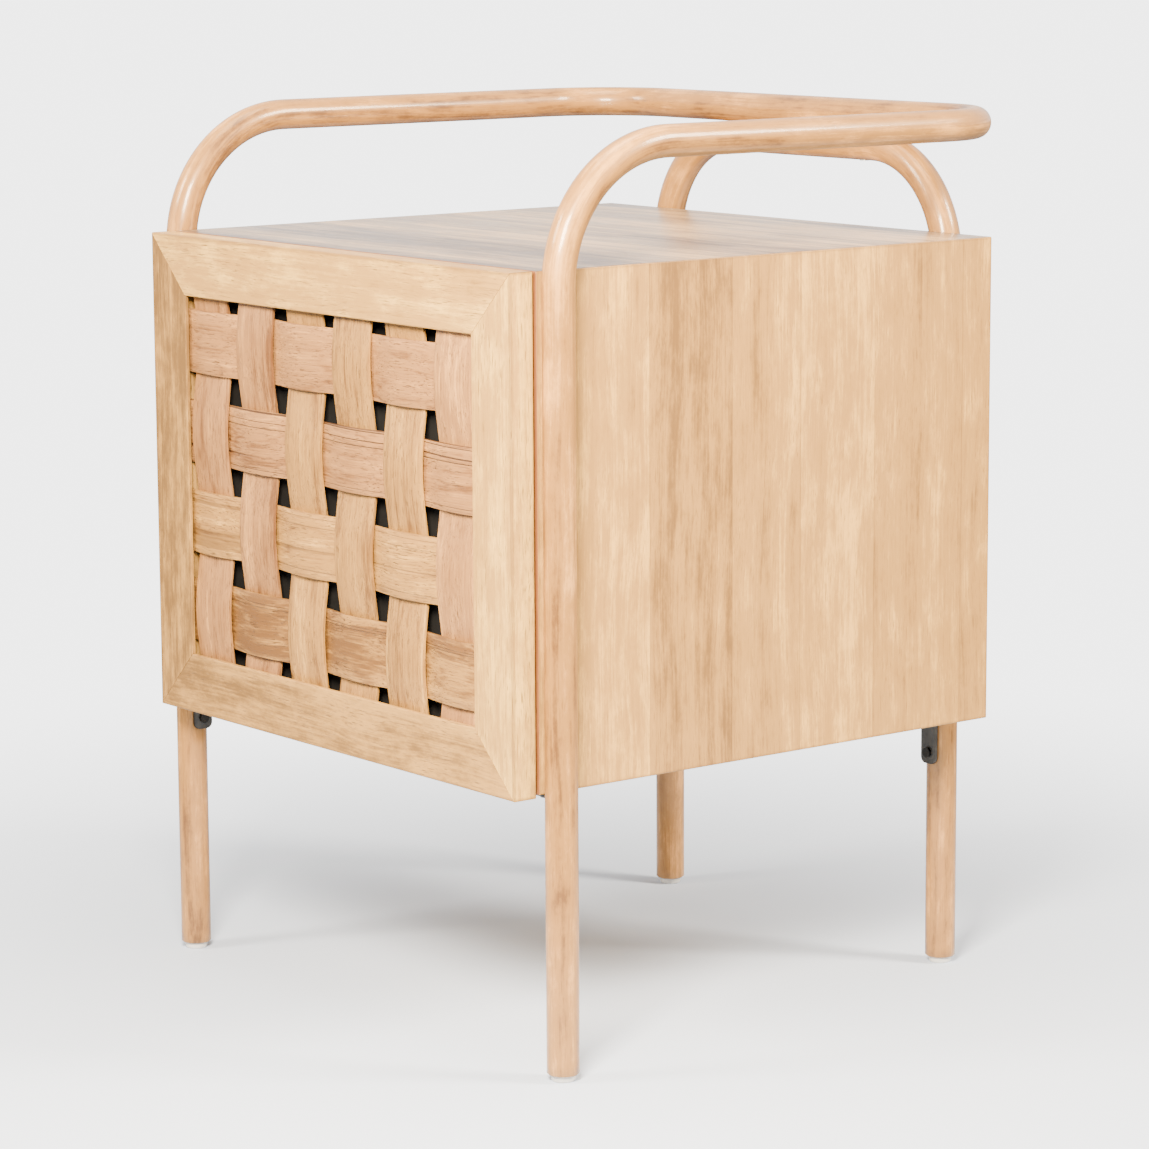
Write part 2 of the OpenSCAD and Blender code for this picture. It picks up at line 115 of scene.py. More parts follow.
class Shaper:
    """Shapes one piece with mesh operators and makes it an object."""

    def __init__(self, started: Optional[BMesh] = None) -> None:
        """Starts with the given mesh, or with an empty one."""
        self.bm = bmesh.new() if started is None else started

    def block(self, low: Vector, high: Vector) -> "Shaper":
        """Adds a block.

        Args:
            low: its lowest corner.
            high: its highest corner.

        Returns:
            This shaper.
        """
        size = high - low
        place = Matrix.Translation((low + high) / 2) @ Matrix.Diagonal((*size, 1.0))
        bmesh.ops.create_cube(self.bm, size=1.0, matrix=place)
        return self

    def profile(self, points: Sequence[Vector], along: Vector) -> "Shaper":
        """Adds a bar with the given section.

        Args:
            points: corners of the section, in order.
            along: the way and the length that it runs.

        Returns:
            This shaper.
        """
        corners = [self.bm.verts.new(p) for p in points]
        face = self.bm.faces.new(corners)
        grown = bmesh.ops.extrude_face_region(self.bm, geom=[face], use_keep_orig=True)
        moved = [g for g in grown["geom"] if isinstance(g, BMVert)]
        bmesh.ops.translate(self.bm, verts=moved, vec=along)
        bmesh.ops.recalc_face_normals(self.bm, faces=self.bm.faces[:])
        return self

    def ease(self, width: float, segments: int = 2,
             which: Optional[Callable[[BMEdge], bool]] = None) -> "Shaper":
        """Rounds sharp edges.

        Args:
            width: how far the rounding reaches from the edge.
            segments: how many facets it has.
            which: says whether an edge is rounded; all sharp ones if it is left out.

        Returns:
            This shaper.
        """
        sharp = [e for e in self.bm.edges if e.calc_face_angle(0.0) > SHARP]
        chosen = [e for e in sharp if which is None or which(e)]
        bmesh.ops.bevel(self.bm, geom=chosen, offset=width, offset_type="OFFSET",
                        segments=segments, profile=0.5, affect="EDGES", material=-1,
                        clamp_overlap=True)
        return self

    def cut(self, point: Vector, normal: Vector) -> "Shaper":
        """Saws off what lies on the side of a plane that its normal points to.

        Args:
            point: a point of the plane.
            normal: the plane's normal.

        Returns:
            This shaper.
        """
        everything = self.bm.verts[:] + self.bm.edges[:] + self.bm.faces[:]
        bmesh.ops.bisect_plane(self.bm, geom=everything, dist=SPLIT_REACH, plane_co=point,
                               plane_no=normal, clear_outer=True, clear_inner=False)
        open_edges = [e for e in self.bm.edges if e.is_boundary]
        if open_edges:
            bmesh.ops.holes_fill(self.bm, edges=open_edges, sides=0)
        return self

    def divide(self, axis: int, start: float, end: float, count: int) -> "Shaper":
        """Scores even cross lines over the piece, which it can then bend at.

        Args:
            axis: 0, 1 or 2 for X, Y or Z.
            start: where the first division begins.
            end: where the last one ends.
            count: how many divisions.

        Returns:
            This shaper.
        """
        normal = Vector((0.0, 0.0, 0.0))
        normal[axis] = 1.0
        for step in range(1, count):
            point = normal * (start + (end - start) * step / count)
            everything = self.bm.verts[:] + self.bm.edges[:] + self.bm.faces[:]
            bmesh.ops.bisect_plane(self.bm, geom=everything, dist=SPLIT_REACH, plane_co=point,
                                   plane_no=normal)
        return self

    def place(self, matrix: Matrix) -> "Shaper":
        """Moves the whole piece by a matrix."""
        bmesh.ops.transform(self.bm, matrix=matrix, verts=self.bm.verts[:])
        return self

    def piece(self, name: str, smooth_angle: float = 0.0) -> Object:
        """Makes the object.

        Args:
            name: the piece's name.
            smooth_angle: edges flatter than this, in degrees, are shaded smooth.

        Returns:
            The finished object, at the origin.
        """
        mesh = bpy.data.meshes.new(name)
        self.bm.to_mesh(mesh)
        self.bm.free()
        if smooth_angle:
            mesh.shade_smooth()
            mesh.set_sharp_from_angle(angle=math.radians(smooth_angle))
        return add_object(name, mesh)


def hand_over(piece: Object, body: Body, slot: str, material: Material,
              *nodes: str) -> None:
    """Gives a piece its body and finish, and retires the nodes it stands for.

    Args:
        piece: the finished object.
        body: the body that it moves with.
        slot: not used.
        material: its finish.
        *nodes: the nodes that it replaces.
    """
    piece.data.materials.clear()
    piece.data.materials.append(material)
    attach(piece, body.value)
    if nodes:
        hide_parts(*nodes)
    triangles = sum(len(p.vertices) - 2 for p in piece.data.polygons)
    LOG.info("%s: %d triangles on %s", piece.name, triangles, body.value)


# ---- shader tools ----


class Sketch:
    """Places and joins the nodes of one material or group."""

    def __init__(self, tree: NodeTree) -> None:
        """Works on the given tree."""
        self.tree = tree

    def node(self, kind: str, **settings: object) -> Node:
        """Adds a node.

        Args:
            kind: its type.
            **settings: its properties.

        Returns:
            The node.
        """
        made = self.tree.nodes.new(kind)
        for name, value in settings.items():
            setattr(made, name, value)
        return made

    def feed(self, socket: NodeSocket, value: object) -> None:
        """Gives a socket its value.

        Args:
            socket: the socket.
            value: another socket that it is joined to, or its constant.
        """
        if isinstance(value, NodeSocket):
            self.tree.links.new(value, socket)
        else:
            socket.default_value = value

    def fill(self, node: Node, **values: object) -> Node:
        """Gives several sockets of a node their values.

        Args:
            node: the node.
            **values: a value by the socket's name, with an underscore for a space.

        Returns:
            The node.
        """
        for name, value in values.items():
            self.feed(node.inputs[name.replace("_", " ")], value)
        return node

    def math(self, operation: str, first: object, second: object = 0.0,
             third: object = 0.0, clamp: bool = False) -> NodeSocket:
        """Adds a sum on numbers.

        Args:
            operation: which sum.
            first: its first number.
            second: its second number, where it has one.
            third: its third number, where it has one.
            clamp: whether the result stays within 0 to 1.

        Returns:
            The result.
        """
        made = self.node("ShaderNodeMath", operation=operation, use_clamp=clamp)
        for socket, value in zip(made.inputs, (first, second, third)):
            self.feed(socket, value)
        return made.outputs[0]

    def plus(self, first: object, second: object) -> NodeSocket:
        """Adds two numbers."""
        return self.math("ADD", first, second)

    def less(self, first: object, second: object) -> NodeSocket:
        """Takes the second number from the first."""
        return self.math("SUBTRACT", first, second)

    def times(self, first: object, second: object, clamp: bool = False) -> NodeSocket:
        """Multiplies two numbers."""
        return self.math("MULTIPLY", first, second, clamp=clamp)

    def vector(self, operation: str, first: object, second: object) -> NodeSocket:
        """Adds a sum on vectors.

        Args:
            operation: which sum.
            first: its first vector.
            second: its second vector.

        Returns:
            The result.
        """
        made = self.node("ShaderNodeVectorMath", operation=operation)
        self.feed(made.inputs[0], first)
        self.feed(made.inputs[1], second)
        return made.outputs[0]

    def split(self, vector: object) -> list[NodeSocket]:
        """Takes a vector apart into X, Y and Z."""
        return list(self.fill(self.node("ShaderNodeSeparateXYZ"), Vector=vector).outputs)

    def noise(self, vector: object, scale: Sequence[float], detail: float = 3.0,
              roughness: float = 0.55) -> NodeSocket:
        """Adds a stretched noise.

        Args:
            vector: where it is read.
            scale: features per metre along each axis.
            detail: how many finer layers it has.
            roughness: how strong the finer layers are.

        Returns:
            Its value, 0 to 1.
        """
        made = self.node("ShaderNodeTexNoise", noise_dimensions="3D")
        self.fill(made, Vector=self.vector("MULTIPLY", vector, tuple(scale)), Scale=1.0,
                  Detail=detail, Roughness=roughness, Distortion=0.0)
        return made.outputs["Fac"]

    def window(self, value: object, low: float, high: float) -> NodeSocket:
        """Maps low..high to 0..1 with soft ends.

        Args:
            value: what is mapped.
            low: what becomes 0.
            high: what becomes 1.

        Returns:
            The result.
        """
        made = self.node("ShaderNodeMapRange", interpolation_type="SMOOTHSTEP")
        return self.fill(made, Value=value, From_Min=low, From_Max=high).outputs["Result"]

    def mix(self, factor: object, first: object, second: object) -> NodeSocket:
        """Mixes two colours.

        Args:
            factor: how much of the second colour there is.
            first: the first colour.
            second: the second colour.

        Returns:
            The mixture.
        """
        made = self.node("ShaderNodeMix", data_type="RGBA", blend_type="MIX", clamp_factor=True)
        for socket, value in ((0, factor), (6, first), (7, second)):
            self.feed(made.inputs[socket], value)
        return made.outputs[2]

    def group(self, tree: NodeTree, **values: object) -> Node:
        """Places a node group with its own values."""
        return self.fill(self.node("ShaderNodeGroup", node_tree=tree), **values)


@dataclass(frozen=True)
class Port:
    """A named socket of a node group."""

    name: str
    kind: str
    value: object = None


class SharedEffects:
    """The node groups that several finishes use, each built once."""

    def __init__(self) -> None:
        """Builds every group."""
        self.grain = self._build_grain()
        self.boards = self._build_boards()
        self.border = self._build_border()
        self.marks = self._build_marks()

    @staticmethod
    def _start(name: str, inputs: Iterable[Port], outputs: Iterable[Port]) -> tuple:
        """Makes an empty group with its sockets.

        Args:
            name: the group's name.
            inputs: its inputs.
            outputs: its outputs.

        Returns:
            The sketch, the input node and the output node.
        """
        tree = bpy.data.node_groups.new(name, "ShaderNodeTree")
        for port in inputs:
            made = tree.interface.new_socket(port.name, in_out="INPUT", socket_type=port.kind)
            if port.value is not None:
                made.default_value = port.value
        for port in outputs:
            tree.interface.new_socket(port.name, in_out="OUTPUT", socket_type=port.kind)
        sketch = Sketch(tree)
        return sketch, sketch.node("NodeGroupInput"), sketch.node("NodeGroupOutput")

    def _build_grain(self) -> NodeTree:
        """Timber with its grain along X: streaks, bands, fibres, mottling and pores.

        Returns:
            The group.
        """
        number, vector, colour = "NodeSocketFloat", "NodeSocketVector", "NodeSocketColor"
        sketch, gin, gout = self._start(
            "timber grain",
            [Port("Vector", vector), Port("Seed", number, 0.0), Port("Pale", colour),
             Port("Tone", colour), Port("Deep", colour), Port("Pore", colour),
             Port("Shift", number, 0.0), Port("Streaks", number, 0.5),
             Port("Mottling", number, 0.4), Port("Fibres", number, 0.3),
             Port("Pores", number, 0.4), Port("Grooves", number, 0.0)],
            [Port("Color", colour), Port("Height", number)])
        apart = sketch.vector("MULTIPLY", gin.outputs["Seed"], (1.31, 0.73, 0.57))
        spot = sketch.vector("ADD", gin.outputs["Vector"], apart)
        drift = sketch.noise(spot, (3.0, 9.0, 9.0), 2.0)
        sway = sketch.times(sketch.less(drift, 0.5), 0.03)
        bent = sketch.vector("ADD", spot, sketch.vector("MULTIPLY", sway, (0.0, 1.0, 1.0)))
        streak = sketch.noise(bent, (1.6, 34.0, 34.0), 3.0, 0.6)
        band = sketch.noise(bent, (4.5, 120.0, 120.0), 4.0, 0.6)
        fibre = sketch.noise(bent, (16.0, 560.0, 560.0), 2.0, 0.5)
        mottle = sketch.noise(spot, (22.0, 52.0, 52.0), 6.0, 0.72)
        pore = sketch.noise(bent, (75.0, 1500.0, 1500.0), 1.0, 0.5)
        terms = ((streak, "Streaks", 1.5), (band, "Streaks", 0.9), (mottle, "Mottling", 1.5),
                 (fibre, "Fibres", 1.0))
        total = sketch.plus(gin.outputs["Shift"], 0.5)
        for value, strength, weight in terms:
            swing = sketch.times(sketch.less(value, 0.5), weight)
            total = sketch.math("MULTIPLY_ADD", swing, gin.outputs[strength], total)
        low = sketch.mix(sketch.window(total, 0.0, 0.5), gin.outputs["Deep"], gin.outputs["Tone"])
        whole = sketch.mix(sketch.window(total, 0.5, 1.0), low, gin.outputs["Pale"])
        dash = sketch.window(pore, 0.60, 0.70)
        patchy = sketch.times(dash, sketch.window(mottle, 0.35, 0.6))
        porous = sketch.times(patchy, gin.outputs["Pores"], clamp=True)
        line = sketch.noise(spot, (0.35, 0.0, 150.0), 0.0)
        ridge_line = sketch.math("ABSOLUTE", sketch.less(line, 0.60))
        score = sketch.less(1.0, sketch.window(ridge_line, 0.004, 0.022))
        scored = sketch.times(score, gin.outputs["Grooves"])
        depth = sketch.math("MAXIMUM", porous, scored)
        finished = sketch.mix(depth, whole, gin.outputs["Pore"])
        ridge = sketch.times(sketch.plus(fibre, band), 0.5)
        height = sketch.less(ridge, depth)
        sketch.fill(gout, Color=finished, Height=height)
        return sketch.tree

    def _build_boards(self) -> NodeTree:
        """Boards glued edge to edge across Y, each with a tone of its own.

        Returns:
            The group.
        """
        number = "NodeSocketFloat"
        sketch, gin, gout = self._start(
            "glued boards",
            [Port("Vector", "NodeSocketVector"), Port("Width", number, 0.07),
             Port("Seed", number, 0.0)],
            [Port("Tone", number), Port("Seam", number)])
        across = sketch.split(gin.outputs["Vector"])[1]
        place = sketch.plus(sketch.math("DIVIDE", across, gin.outputs["Width"]),
                            gin.outputs["Seed"])
        on_line = sketch.vector("MULTIPLY", place, (0.0, 1.0, 0.0))
        wander = sketch.noise(on_line, (1.0, 0.7, 1.0), 0.0)
        uneven = sketch.math("MULTIPLY_ADD", wander, 0.8, place)
        lot = sketch.node("ShaderNodeTexWhiteNoise", noise_dimensions="1D")
        sketch.feed(lot.inputs["W"], sketch.math("FLOOR", uneven))
        within = sketch.math("FRACT", uneven)
        edge = sketch.math("ABSOLUTE", sketch.less(within, 0.5))
        sketch.fill(gout, Tone=sketch.less(lot.outputs["Value"], 0.5),
                    Seam=sketch.window(edge, 0.488, 0.499))
        return sketch.tree

    def _build_border(self) -> NodeTree:
        """How near a point is to the border of a block centred on the vector's origin.

        Returns:
            The group.
        """
        number, vector = "NodeSocketFloat", "NodeSocketVector"
        sketch, gin, gout = self._start(
            "handled border",
            [Port("Vector", vector), Port("Half", vector), Port("Reach", number, 0.002)],
            [Port("Mask", number)])
        reach = sketch.vector("ABSOLUTE", gin.outputs["Vector"], (0.0, 0.0, 0.0))
        left = sketch.vector("SUBTRACT", gin.outputs["Half"], reach)
        x, y, z = sketch.split(left)
        least = sketch.math("MINIMUM", sketch.math("MINIMUM", x, y), z)
        most = sketch.math("MAXIMUM", sketch.math("MAXIMUM", x, y), z)
        total = sketch.plus(sketch.plus(x, y), z)
        middle = sketch.less(sketch.less(total, least), most)
        ragged = sketch.times(sketch.noise(gin.outputs["Vector"], (90.0, 90.0, 90.0)),
                              gin.outputs["Reach"])
        near = sketch.less(sketch.plus(gin.outputs["Reach"], ragged), middle)
        sketch.fill(gout, Mask=sketch.math("DIVIDE", near, gin.outputs["Reach"], clamp=True))
        return sketch.tree

    def _build_marks(self) -> NodeTree:
        """Sparse small marks and scuffs, as masks.

        Returns:
            The group.
        """
        number = "NodeSocketFloat"
        sketch, gin, gout = self._start(
            "small marks",
            [Port("Vector", "NodeSocketVector"), Port("Seed", number, 0.0)],
            [Port("Marks", number), Port("Handling", number)])
        apart = sketch.vector("MULTIPLY", gin.outputs["Seed"], (0.9, 1.7, 0.4))
        spot = sketch.vector("ADD", gin.outputs["Vector"], apart)
        cells = sketch.node("ShaderNodeTexVoronoi", feature="F1")
        sketch.fill(cells, Vector=sketch.vector("MULTIPLY", spot, (22.0, 40.0, 40.0)), Scale=1.0)
        close = sketch.less(1.0, sketch.window(cells.outputs["Distance"], 0.02, 0.10))
        some = sketch.window(sketch.noise(spot, (9.0, 9.0, 9.0), 1.0), 0.56, 0.66)
        smear = sketch.noise(spot, (18.0, 26.0, 26.0), 4.0, 0.7)
        sketch.fill(gout, Marks=sketch.times(close, some), Handling=smear)
        return sketch.tree


class Finish:
    """Base of the finishes: makes a material with a Principled shader and its wiring."""

    effects: SharedEffects

    @staticmethod
    def blank(name: str) -> tuple:
        """Starts a material.

        Args:
            name: the material's name.

        Returns:
            The material, its sketch and its Principled shader.
        """
        material = bpy.data.materials.new(name)
        material.use_nodes = True
        material.node_tree.nodes.clear()
        sketch = Sketch(material.node_tree)
        out = sketch.node("ShaderNodeOutputMaterial")
        shader = sketch.node("ShaderNodeBsdfPrincipled")
        sketch.feed(out.inputs["Surface"], shader.outputs["BSDF"])
        return material, sketch, shader

    @staticmethod
    def turned(sketch: Sketch, grain: Grain, centre: Vector = Vector((0, 0, 0))) -> tuple:
        """Reads the place on the piece.

        Args:
            sketch: the material's sketch.
            grain: which way its grain runs.
            centre: the point that counts as the pattern's own origin.

        Returns:
            The place about the centre, and the same with the grain laid along X.
        """
        if grain is Grain.ALONG_POLE:
            source = sketch.node("ShaderNodeAttribute", attribute_name="straight")
            read = source.outputs["Vector"]
        else:
            read = sketch.node("ShaderNodeTexCoord").outputs["Object"]
        centred = sketch.node("ShaderNodeMapping", vector_type="POINT")
        sketch.fill(centred, Vector=read, Location=-centre)
        laid = sketch.node("ShaderNodeMapping", vector_type="POINT")
        sketch.fill(laid, Vector=centred.outputs[0], Rotation=grain.value)
        return centred.outputs[0], laid.outputs[0]

    @staticmethod
    def relief(sketch: Sketch, shader: Node, height: object, depth: float,
               strength: float) -> None:
        """Raises the surface by a height map.

        Args:
            sketch: the material's sketch.
            shader: its Principled shader.
            height: the height map.
            depth: how far it raises the surface, in metres.
            strength: how much of it shows.
        """
        bump = sketch.node("ShaderNodeBump")
        sketch.fill(bump, Strength=strength, Distance=depth, Height=height)
        sketch.fill(shader, Normal=bump.outputs["Normal"])


@dataclass(frozen=True)
class Palette:
    """The colours of one kind of timber."""

    pale: str
    tone: str
    deep: str
    pore: str


@dataclass(frozen=True)
class Timber(Finish):
    """Washed timber with a clear coat."""

    name: str
    palette: Palette
    grain: Grain
    seed: float = 0.0
    shift: float = 0.0
    streaks: float = 0.5
    mottling: float = 0.4
    fibres: float = 0.3
    pores: float = 0.4
    grooves: float = 0.0
    board_width: float = 0.0
    board_change: float = 0.5
    seams: float = 0.25
    rough: float = 0.42
    rough_swing: float = 0.16
    gloss: float = 0.3
    coat: float = 0.1
    coat_rough: float = 0.28
    relief_depth: float = 0.0004
    relief_strength: float = 0.5
    marks: float = 0.35
    centre: Vector = field(default_factory=Vector)
    half: Vector = field(default_factory=Vector)
    wear_reach: float = 0.0
    wear: float = 0.5

    def make(self) -> Material:
        """Builds the material.

        Returns:
            The material.
        """
        material, sketch, shader = self.blank(self.name)
        place, laid = self.turned(sketch, self.grain, self.centre)
        shift: object = self.shift
        seam: Optional[NodeSocket] = None
        if self.board_width:
            boards = sketch.group(self.effects.boards, Vector=laid, Width=self.board_width,
                                  Seed=self.seed)
            shift = sketch.math("MULTIPLY_ADD", boards.outputs["Tone"], self.board_change,
                                self.shift)
            seam = boards.outputs["Seam"]
        timber = sketch.group(
            self.effects.grain, Vector=laid, Seed=self.seed, Pale=shade(self.palette.pale),
            Tone=shade(self.palette.tone), Deep=shade(self.palette.deep),
            Pore=shade(self.palette.pore), Shift=shift, Streaks=self.streaks,
            Mottling=self.mottling, Fibres=self.fibres, Pores=self.pores,
            Grooves=self.grooves)
        marks = sketch.group(self.effects.marks, Vector=laid, Seed=self.seed)
        colour = timber.outputs["Color"]
        if seam is not None:
            line = sketch.times(seam, self.seams)
            colour = sketch.mix(line, colour, shade(self.palette.pore))
        dark = sketch.times(marks.outputs["Marks"], self.marks)
        colour = sketch.mix(dark, colour, shade(self.palette.pore))
        if self.wear_reach:
            border = sketch.group(self.effects.border, Vector=place, Half=tuple(self.half),
                                  Reach=self.wear_reach)
            rubbed = sketch.times(border.outputs["Mask"], self.wear)
            colour = sketch.mix(rubbed, colour, shade(self.palette.deep))
        swing = sketch.less(marks.outputs["Handling"], 0.5)
        rough = sketch.math("MULTIPLY_ADD", swing, self.rough_swing * 2, self.rough)
        sketch.fill(shader, Base_Color=colour, Roughness=rough, Specular_IOR_Level=self.gloss,
                    Coat_Weight=self.coat, Coat_Roughness=self.coat_rough)
        self.relief(sketch, shader, timber.outputs["Height"], self.relief_depth,
                    self.relief_strength)
        return material


@dataclass(frozen=True)
class Metal(Finish):
    """Bare or painted metal with fine scratches."""

    name: str
    base: str
    worn: str
    rough: float
    metallic: float = 1.0
    brushed: Grain = Grain.ALONG_Y
    speckle: float = 900.0
    relief_depth: float = 0.00006

    def make(self) -> Material:
        """Builds the material.

        Returns:
            The material.
        """
        material, sketch, shader = self.blank(self.name)
        _, laid = self.turned(sketch, self.brushed)
        scratch = sketch.noise(laid, (30.0, self.speckle, self.speckle), 3.0, 0.6)
        cloud = sketch.noise(laid, (40.0, 40.0, 40.0), 4.0, 0.6)
        both = sketch.times(sketch.window(scratch, 0.45, 0.75),
                           sketch.window(cloud, 0.35, 0.7))
        rough = sketch.math("MULTIPLY_ADD", cloud, 0.22, self.rough - 0.08)
        sketch.fill(shader, Base_Color=sketch.mix(both, shade(self.base), shade(self.worn)),
                    Metallic=self.metallic, Roughness=rough)
        self.relief(sketch, shader, scratch, self.relief_depth, 0.4)
        return material


@dataclass(frozen=True)
class Paint(Finish):
    """A painted or moulded surface with a fine orange peel."""

    name: str
    base: str
    faded: str
    rough: float
    peel: float = 700.0
    see_through: float = 0.0

    def make(self) -> Material:
        """Builds the material.

        Returns:
            The material.
        """
        material, sketch, shader = self.blank(self.name)
        _, laid = self.turned(sketch, Grain.ALONG_X)
        peel = sketch.noise(laid, (self.peel, self.peel, self.peel), 2.0, 0.5)
        cloud = sketch.noise(laid, (25.0, 60.0, 60.0), 5.0, 0.65)
        faded = sketch.window(cloud, 0.4, 0.75)
        rough = sketch.math("MULTIPLY_ADD", cloud, 0.2, self.rough - 0.1)
        sketch.fill(shader, Base_Color=sketch.mix(faded, shade(self.base), shade(self.faded)),
                    Roughness=rough, Transmission_Weight=self.see_through)
        self.relief(sketch, shader, peel, 0.00012, 0.35)
        return material


CASE_TIMBER = Palette("dcaa5c", "ae8246", "7c5a30", "4a321c")
# Greyer and darker than the case timber: painted sheen and painted shade for a top seen at a
# grazing angle and lit less than the sides. The streaks are its grain.
TOP_TIMBER_PAINTED_SHEEN = Palette("cca87c", "967c60", "5c4838", "382a22")
FRONT_TIMBER = Palette("eabc66", "b88c4c", "78582e", "442e18")
STRIP_TAN = Palette("d6a45a", "a87c42", "704c26", "38220e")
STRIP_PINK = Palette("d29a5c", "a27446", "6c4626", "341c0e")
POLE_TIMBER = Palette("d29a58", "a0723a", "644222", "38200e")
# Darker reddish brown for the case's front edges: painted shade of the crevice between the drawer
# front and the legs.
CREVICE_SHADE_TIMBER = Palette("a06c42", "80502c", "583418", "341c0c")
BOX_TIMBER = Palette("dcb878", "c0a066", "987a48", "6c5430")


# ---- sub-assemblies ----


class SubAssembly:
    """Pieces that are shaped first and dressed afterwards, each for a node of its own."""

    names: tuple[str, ...] = ()
    suffix = ""
    smooth_angle = 0.0
    body = Body.CASE
    slot = ""

    def build(self) -> dict[str, Object]:
        """Shapes every piece.

        Returns:
            The pieces by the name of the node that each replaces.
        """
        return {name: self.shape(name).piece(self.label(name), self.smooth_angle)
                for name in self.names}

    def dress(self, made: dict[str, Object]) -> None:
        """Hands every piece over in its finish.

        Args:
            made: the pieces by the name of the node that each replaces.
        """
        for order, (name, piece) in enumerate(made.items()):
            hand_over(piece, self.body, self.slot_of(name), self.finish(name, order), name)

    def label(self, name: str) -> str:
        """Names the piece that stands for a node."""
        return name + self.suffix

    def slot_of(self, name: str) -> str:
        """Says which slot name a piece's finish belongs to."""
        return self.slot

    def shape(self, name: str) -> Shaper:
        """Shapes the piece that stands for a node."""
        raise NotImplementedError

    def finish(self, name: str, order: int) -> Material:
        """Makes the finish of the piece that stands for a node."""
        raise NotImplementedError


# ---- case ----


@dataclass
class Case(SubAssembly):
    """The mitred case: a top, a bottom and two sides with one round of eased edges."""

    board: float = 18 * MM
    ease: float = 0.9 * MM
    back_ease: float = 0.8 * MM
    joint: float = 0.03 * MM
    facing_front: float = 0.7
    low: Vector = field(default_factory=Vector)
    high: Vector = field(default_factory=Vector)

    names = ("top_panel", "bottom_panel", "side_panel_left", "side_panel_right", "back_panel")
    suffix = "_board"
    slot = "case_timber"
    inward = {"top_panel": (0, 0, -1), "bottom_panel": (0, 0, 1),
              "side_panel_left": (1, 0, 0), "side_panel_right": (-1, 0, 0)}

    def __post_init__(self) -> None:
        """Reads the case's own box from the frame."""
        self.low = Vector(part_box("side_panel_left")[0])
        self.low.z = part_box("bottom_panel")[0].z
        self.high = Vector(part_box("side_panel_right")[1])
        self.high.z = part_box("top_panel")[1].z

    def shape(self, name: str) -> Shaper:
        """Saws a board out of the eased block of the whole case, or makes the back.

        Args:
            name: the node that the board stands for.

        Returns:
            The shaper with the board.
        """
        if name not in self.inward:
            return Shaper().block(*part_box(name)).ease(self.back_ease, 2)
        inner = Vector(self.inward[name])
        outer = Vector((self.low.x if inner.x > 0 else self.high.x, 0.0,
                        self.low.z if inner.z > 0 else self.high.z))
        across = 0 if inner.z else 2
        shaper = Shaper().block(self.low, self.high).ease(self.ease, 3)
        for side, end in ((-1.0, self.low), (1.0, self.high)):
            corner = outer.copy()
            corner[across] = end[across]
            normal = inner.copy()
            normal[across] = side
            normal *= math.sqrt(0.5)
            shaper.cut(corner - normal * self.joint, normal)
        return shaper.cut(outer + inner * self.board, inner)

    def finish(self, name: str, order: int) -> Material:
        """Gives a board its own cut of timber.

        Args:
            name: the node that the board stands for.
            order: not used.

        Returns:
            The material.
        """
        whole = {"centre": (self.low + self.high) / 2, "half": (self.high - self.low) / 2,
                 "wear_reach": 1.6 * MM, "wear": 0.45}
        cuts = {
            # The top's greyer, darker palette is painted sheen and painted shade over its own
            # grain.
            "top_panel": Timber("top timber with painted sheen", TOP_TIMBER_PAINTED_SHEEN, Grain.ALONG_X, seed=1.0,
                                streaks=1.5, mottling=0.6, fibres=0.6, pores=0.7,
                                board_width=0.075, board_change=0.45, rough=0.36,
                                coat=0.5, coat_rough=0.24, **whole),
            "bottom_panel": Timber("bottom timber", CASE_TIMBER, Grain.ALONG_X, seed=2.0,
                                   board_width=0.08, **whole),
            "side_panel_left": Timber("left side timber", CASE_TIMBER, Grain.ALONG_Z,
                                      seed=3.4, streaks=0.8, mottling=0.8, fibres=0.4,
                                      board_width=0.072, board_change=0.45, **whole),
            "side_panel_right": Timber("right side timber", CASE_TIMBER, Grain.ALONG_Z,
                                       seed=5.2, streaks=0.65, mottling=0.85, fibres=0.5,
                                       board_width=0.072, board_change=0.45, **whole),
            "back_panel": Timber("back timber", CASE_TIMBER, Grain.ALONG_Z, seed=7.7,
                                 board_width=0.09, board_change=0.3),
        }
        return cuts[name].make()

    def dress(self, made: dict[str, Object]) -> None:
        """Dresses the boards and paints their front edges a darker reddish brown, a painted shade
        for the crevice beside the drawer front.

        Args:
            made: the pieces by the name of the node that each replaces.
        """
        super().dress(made)
        # Faces that look forward get this darker reddish timber, painted shade of the crevice
        # beside the drawer front.
        edge = Timber("case edge painted shade", CREVICE_SHADE_TIMBER, Grain.ALONG_Z, seed=13.0,
                      mottling=0.7, rough=0.5, coat=0.0).make()
        for name, piece in made.items():
            piece.data.materials.append(edge)
            for face in piece.data.polygons:
                at_front = face.normal.y < -self.facing_front
                face.material_index = int(at_front and name != "back_panel")


# ---- poles ----


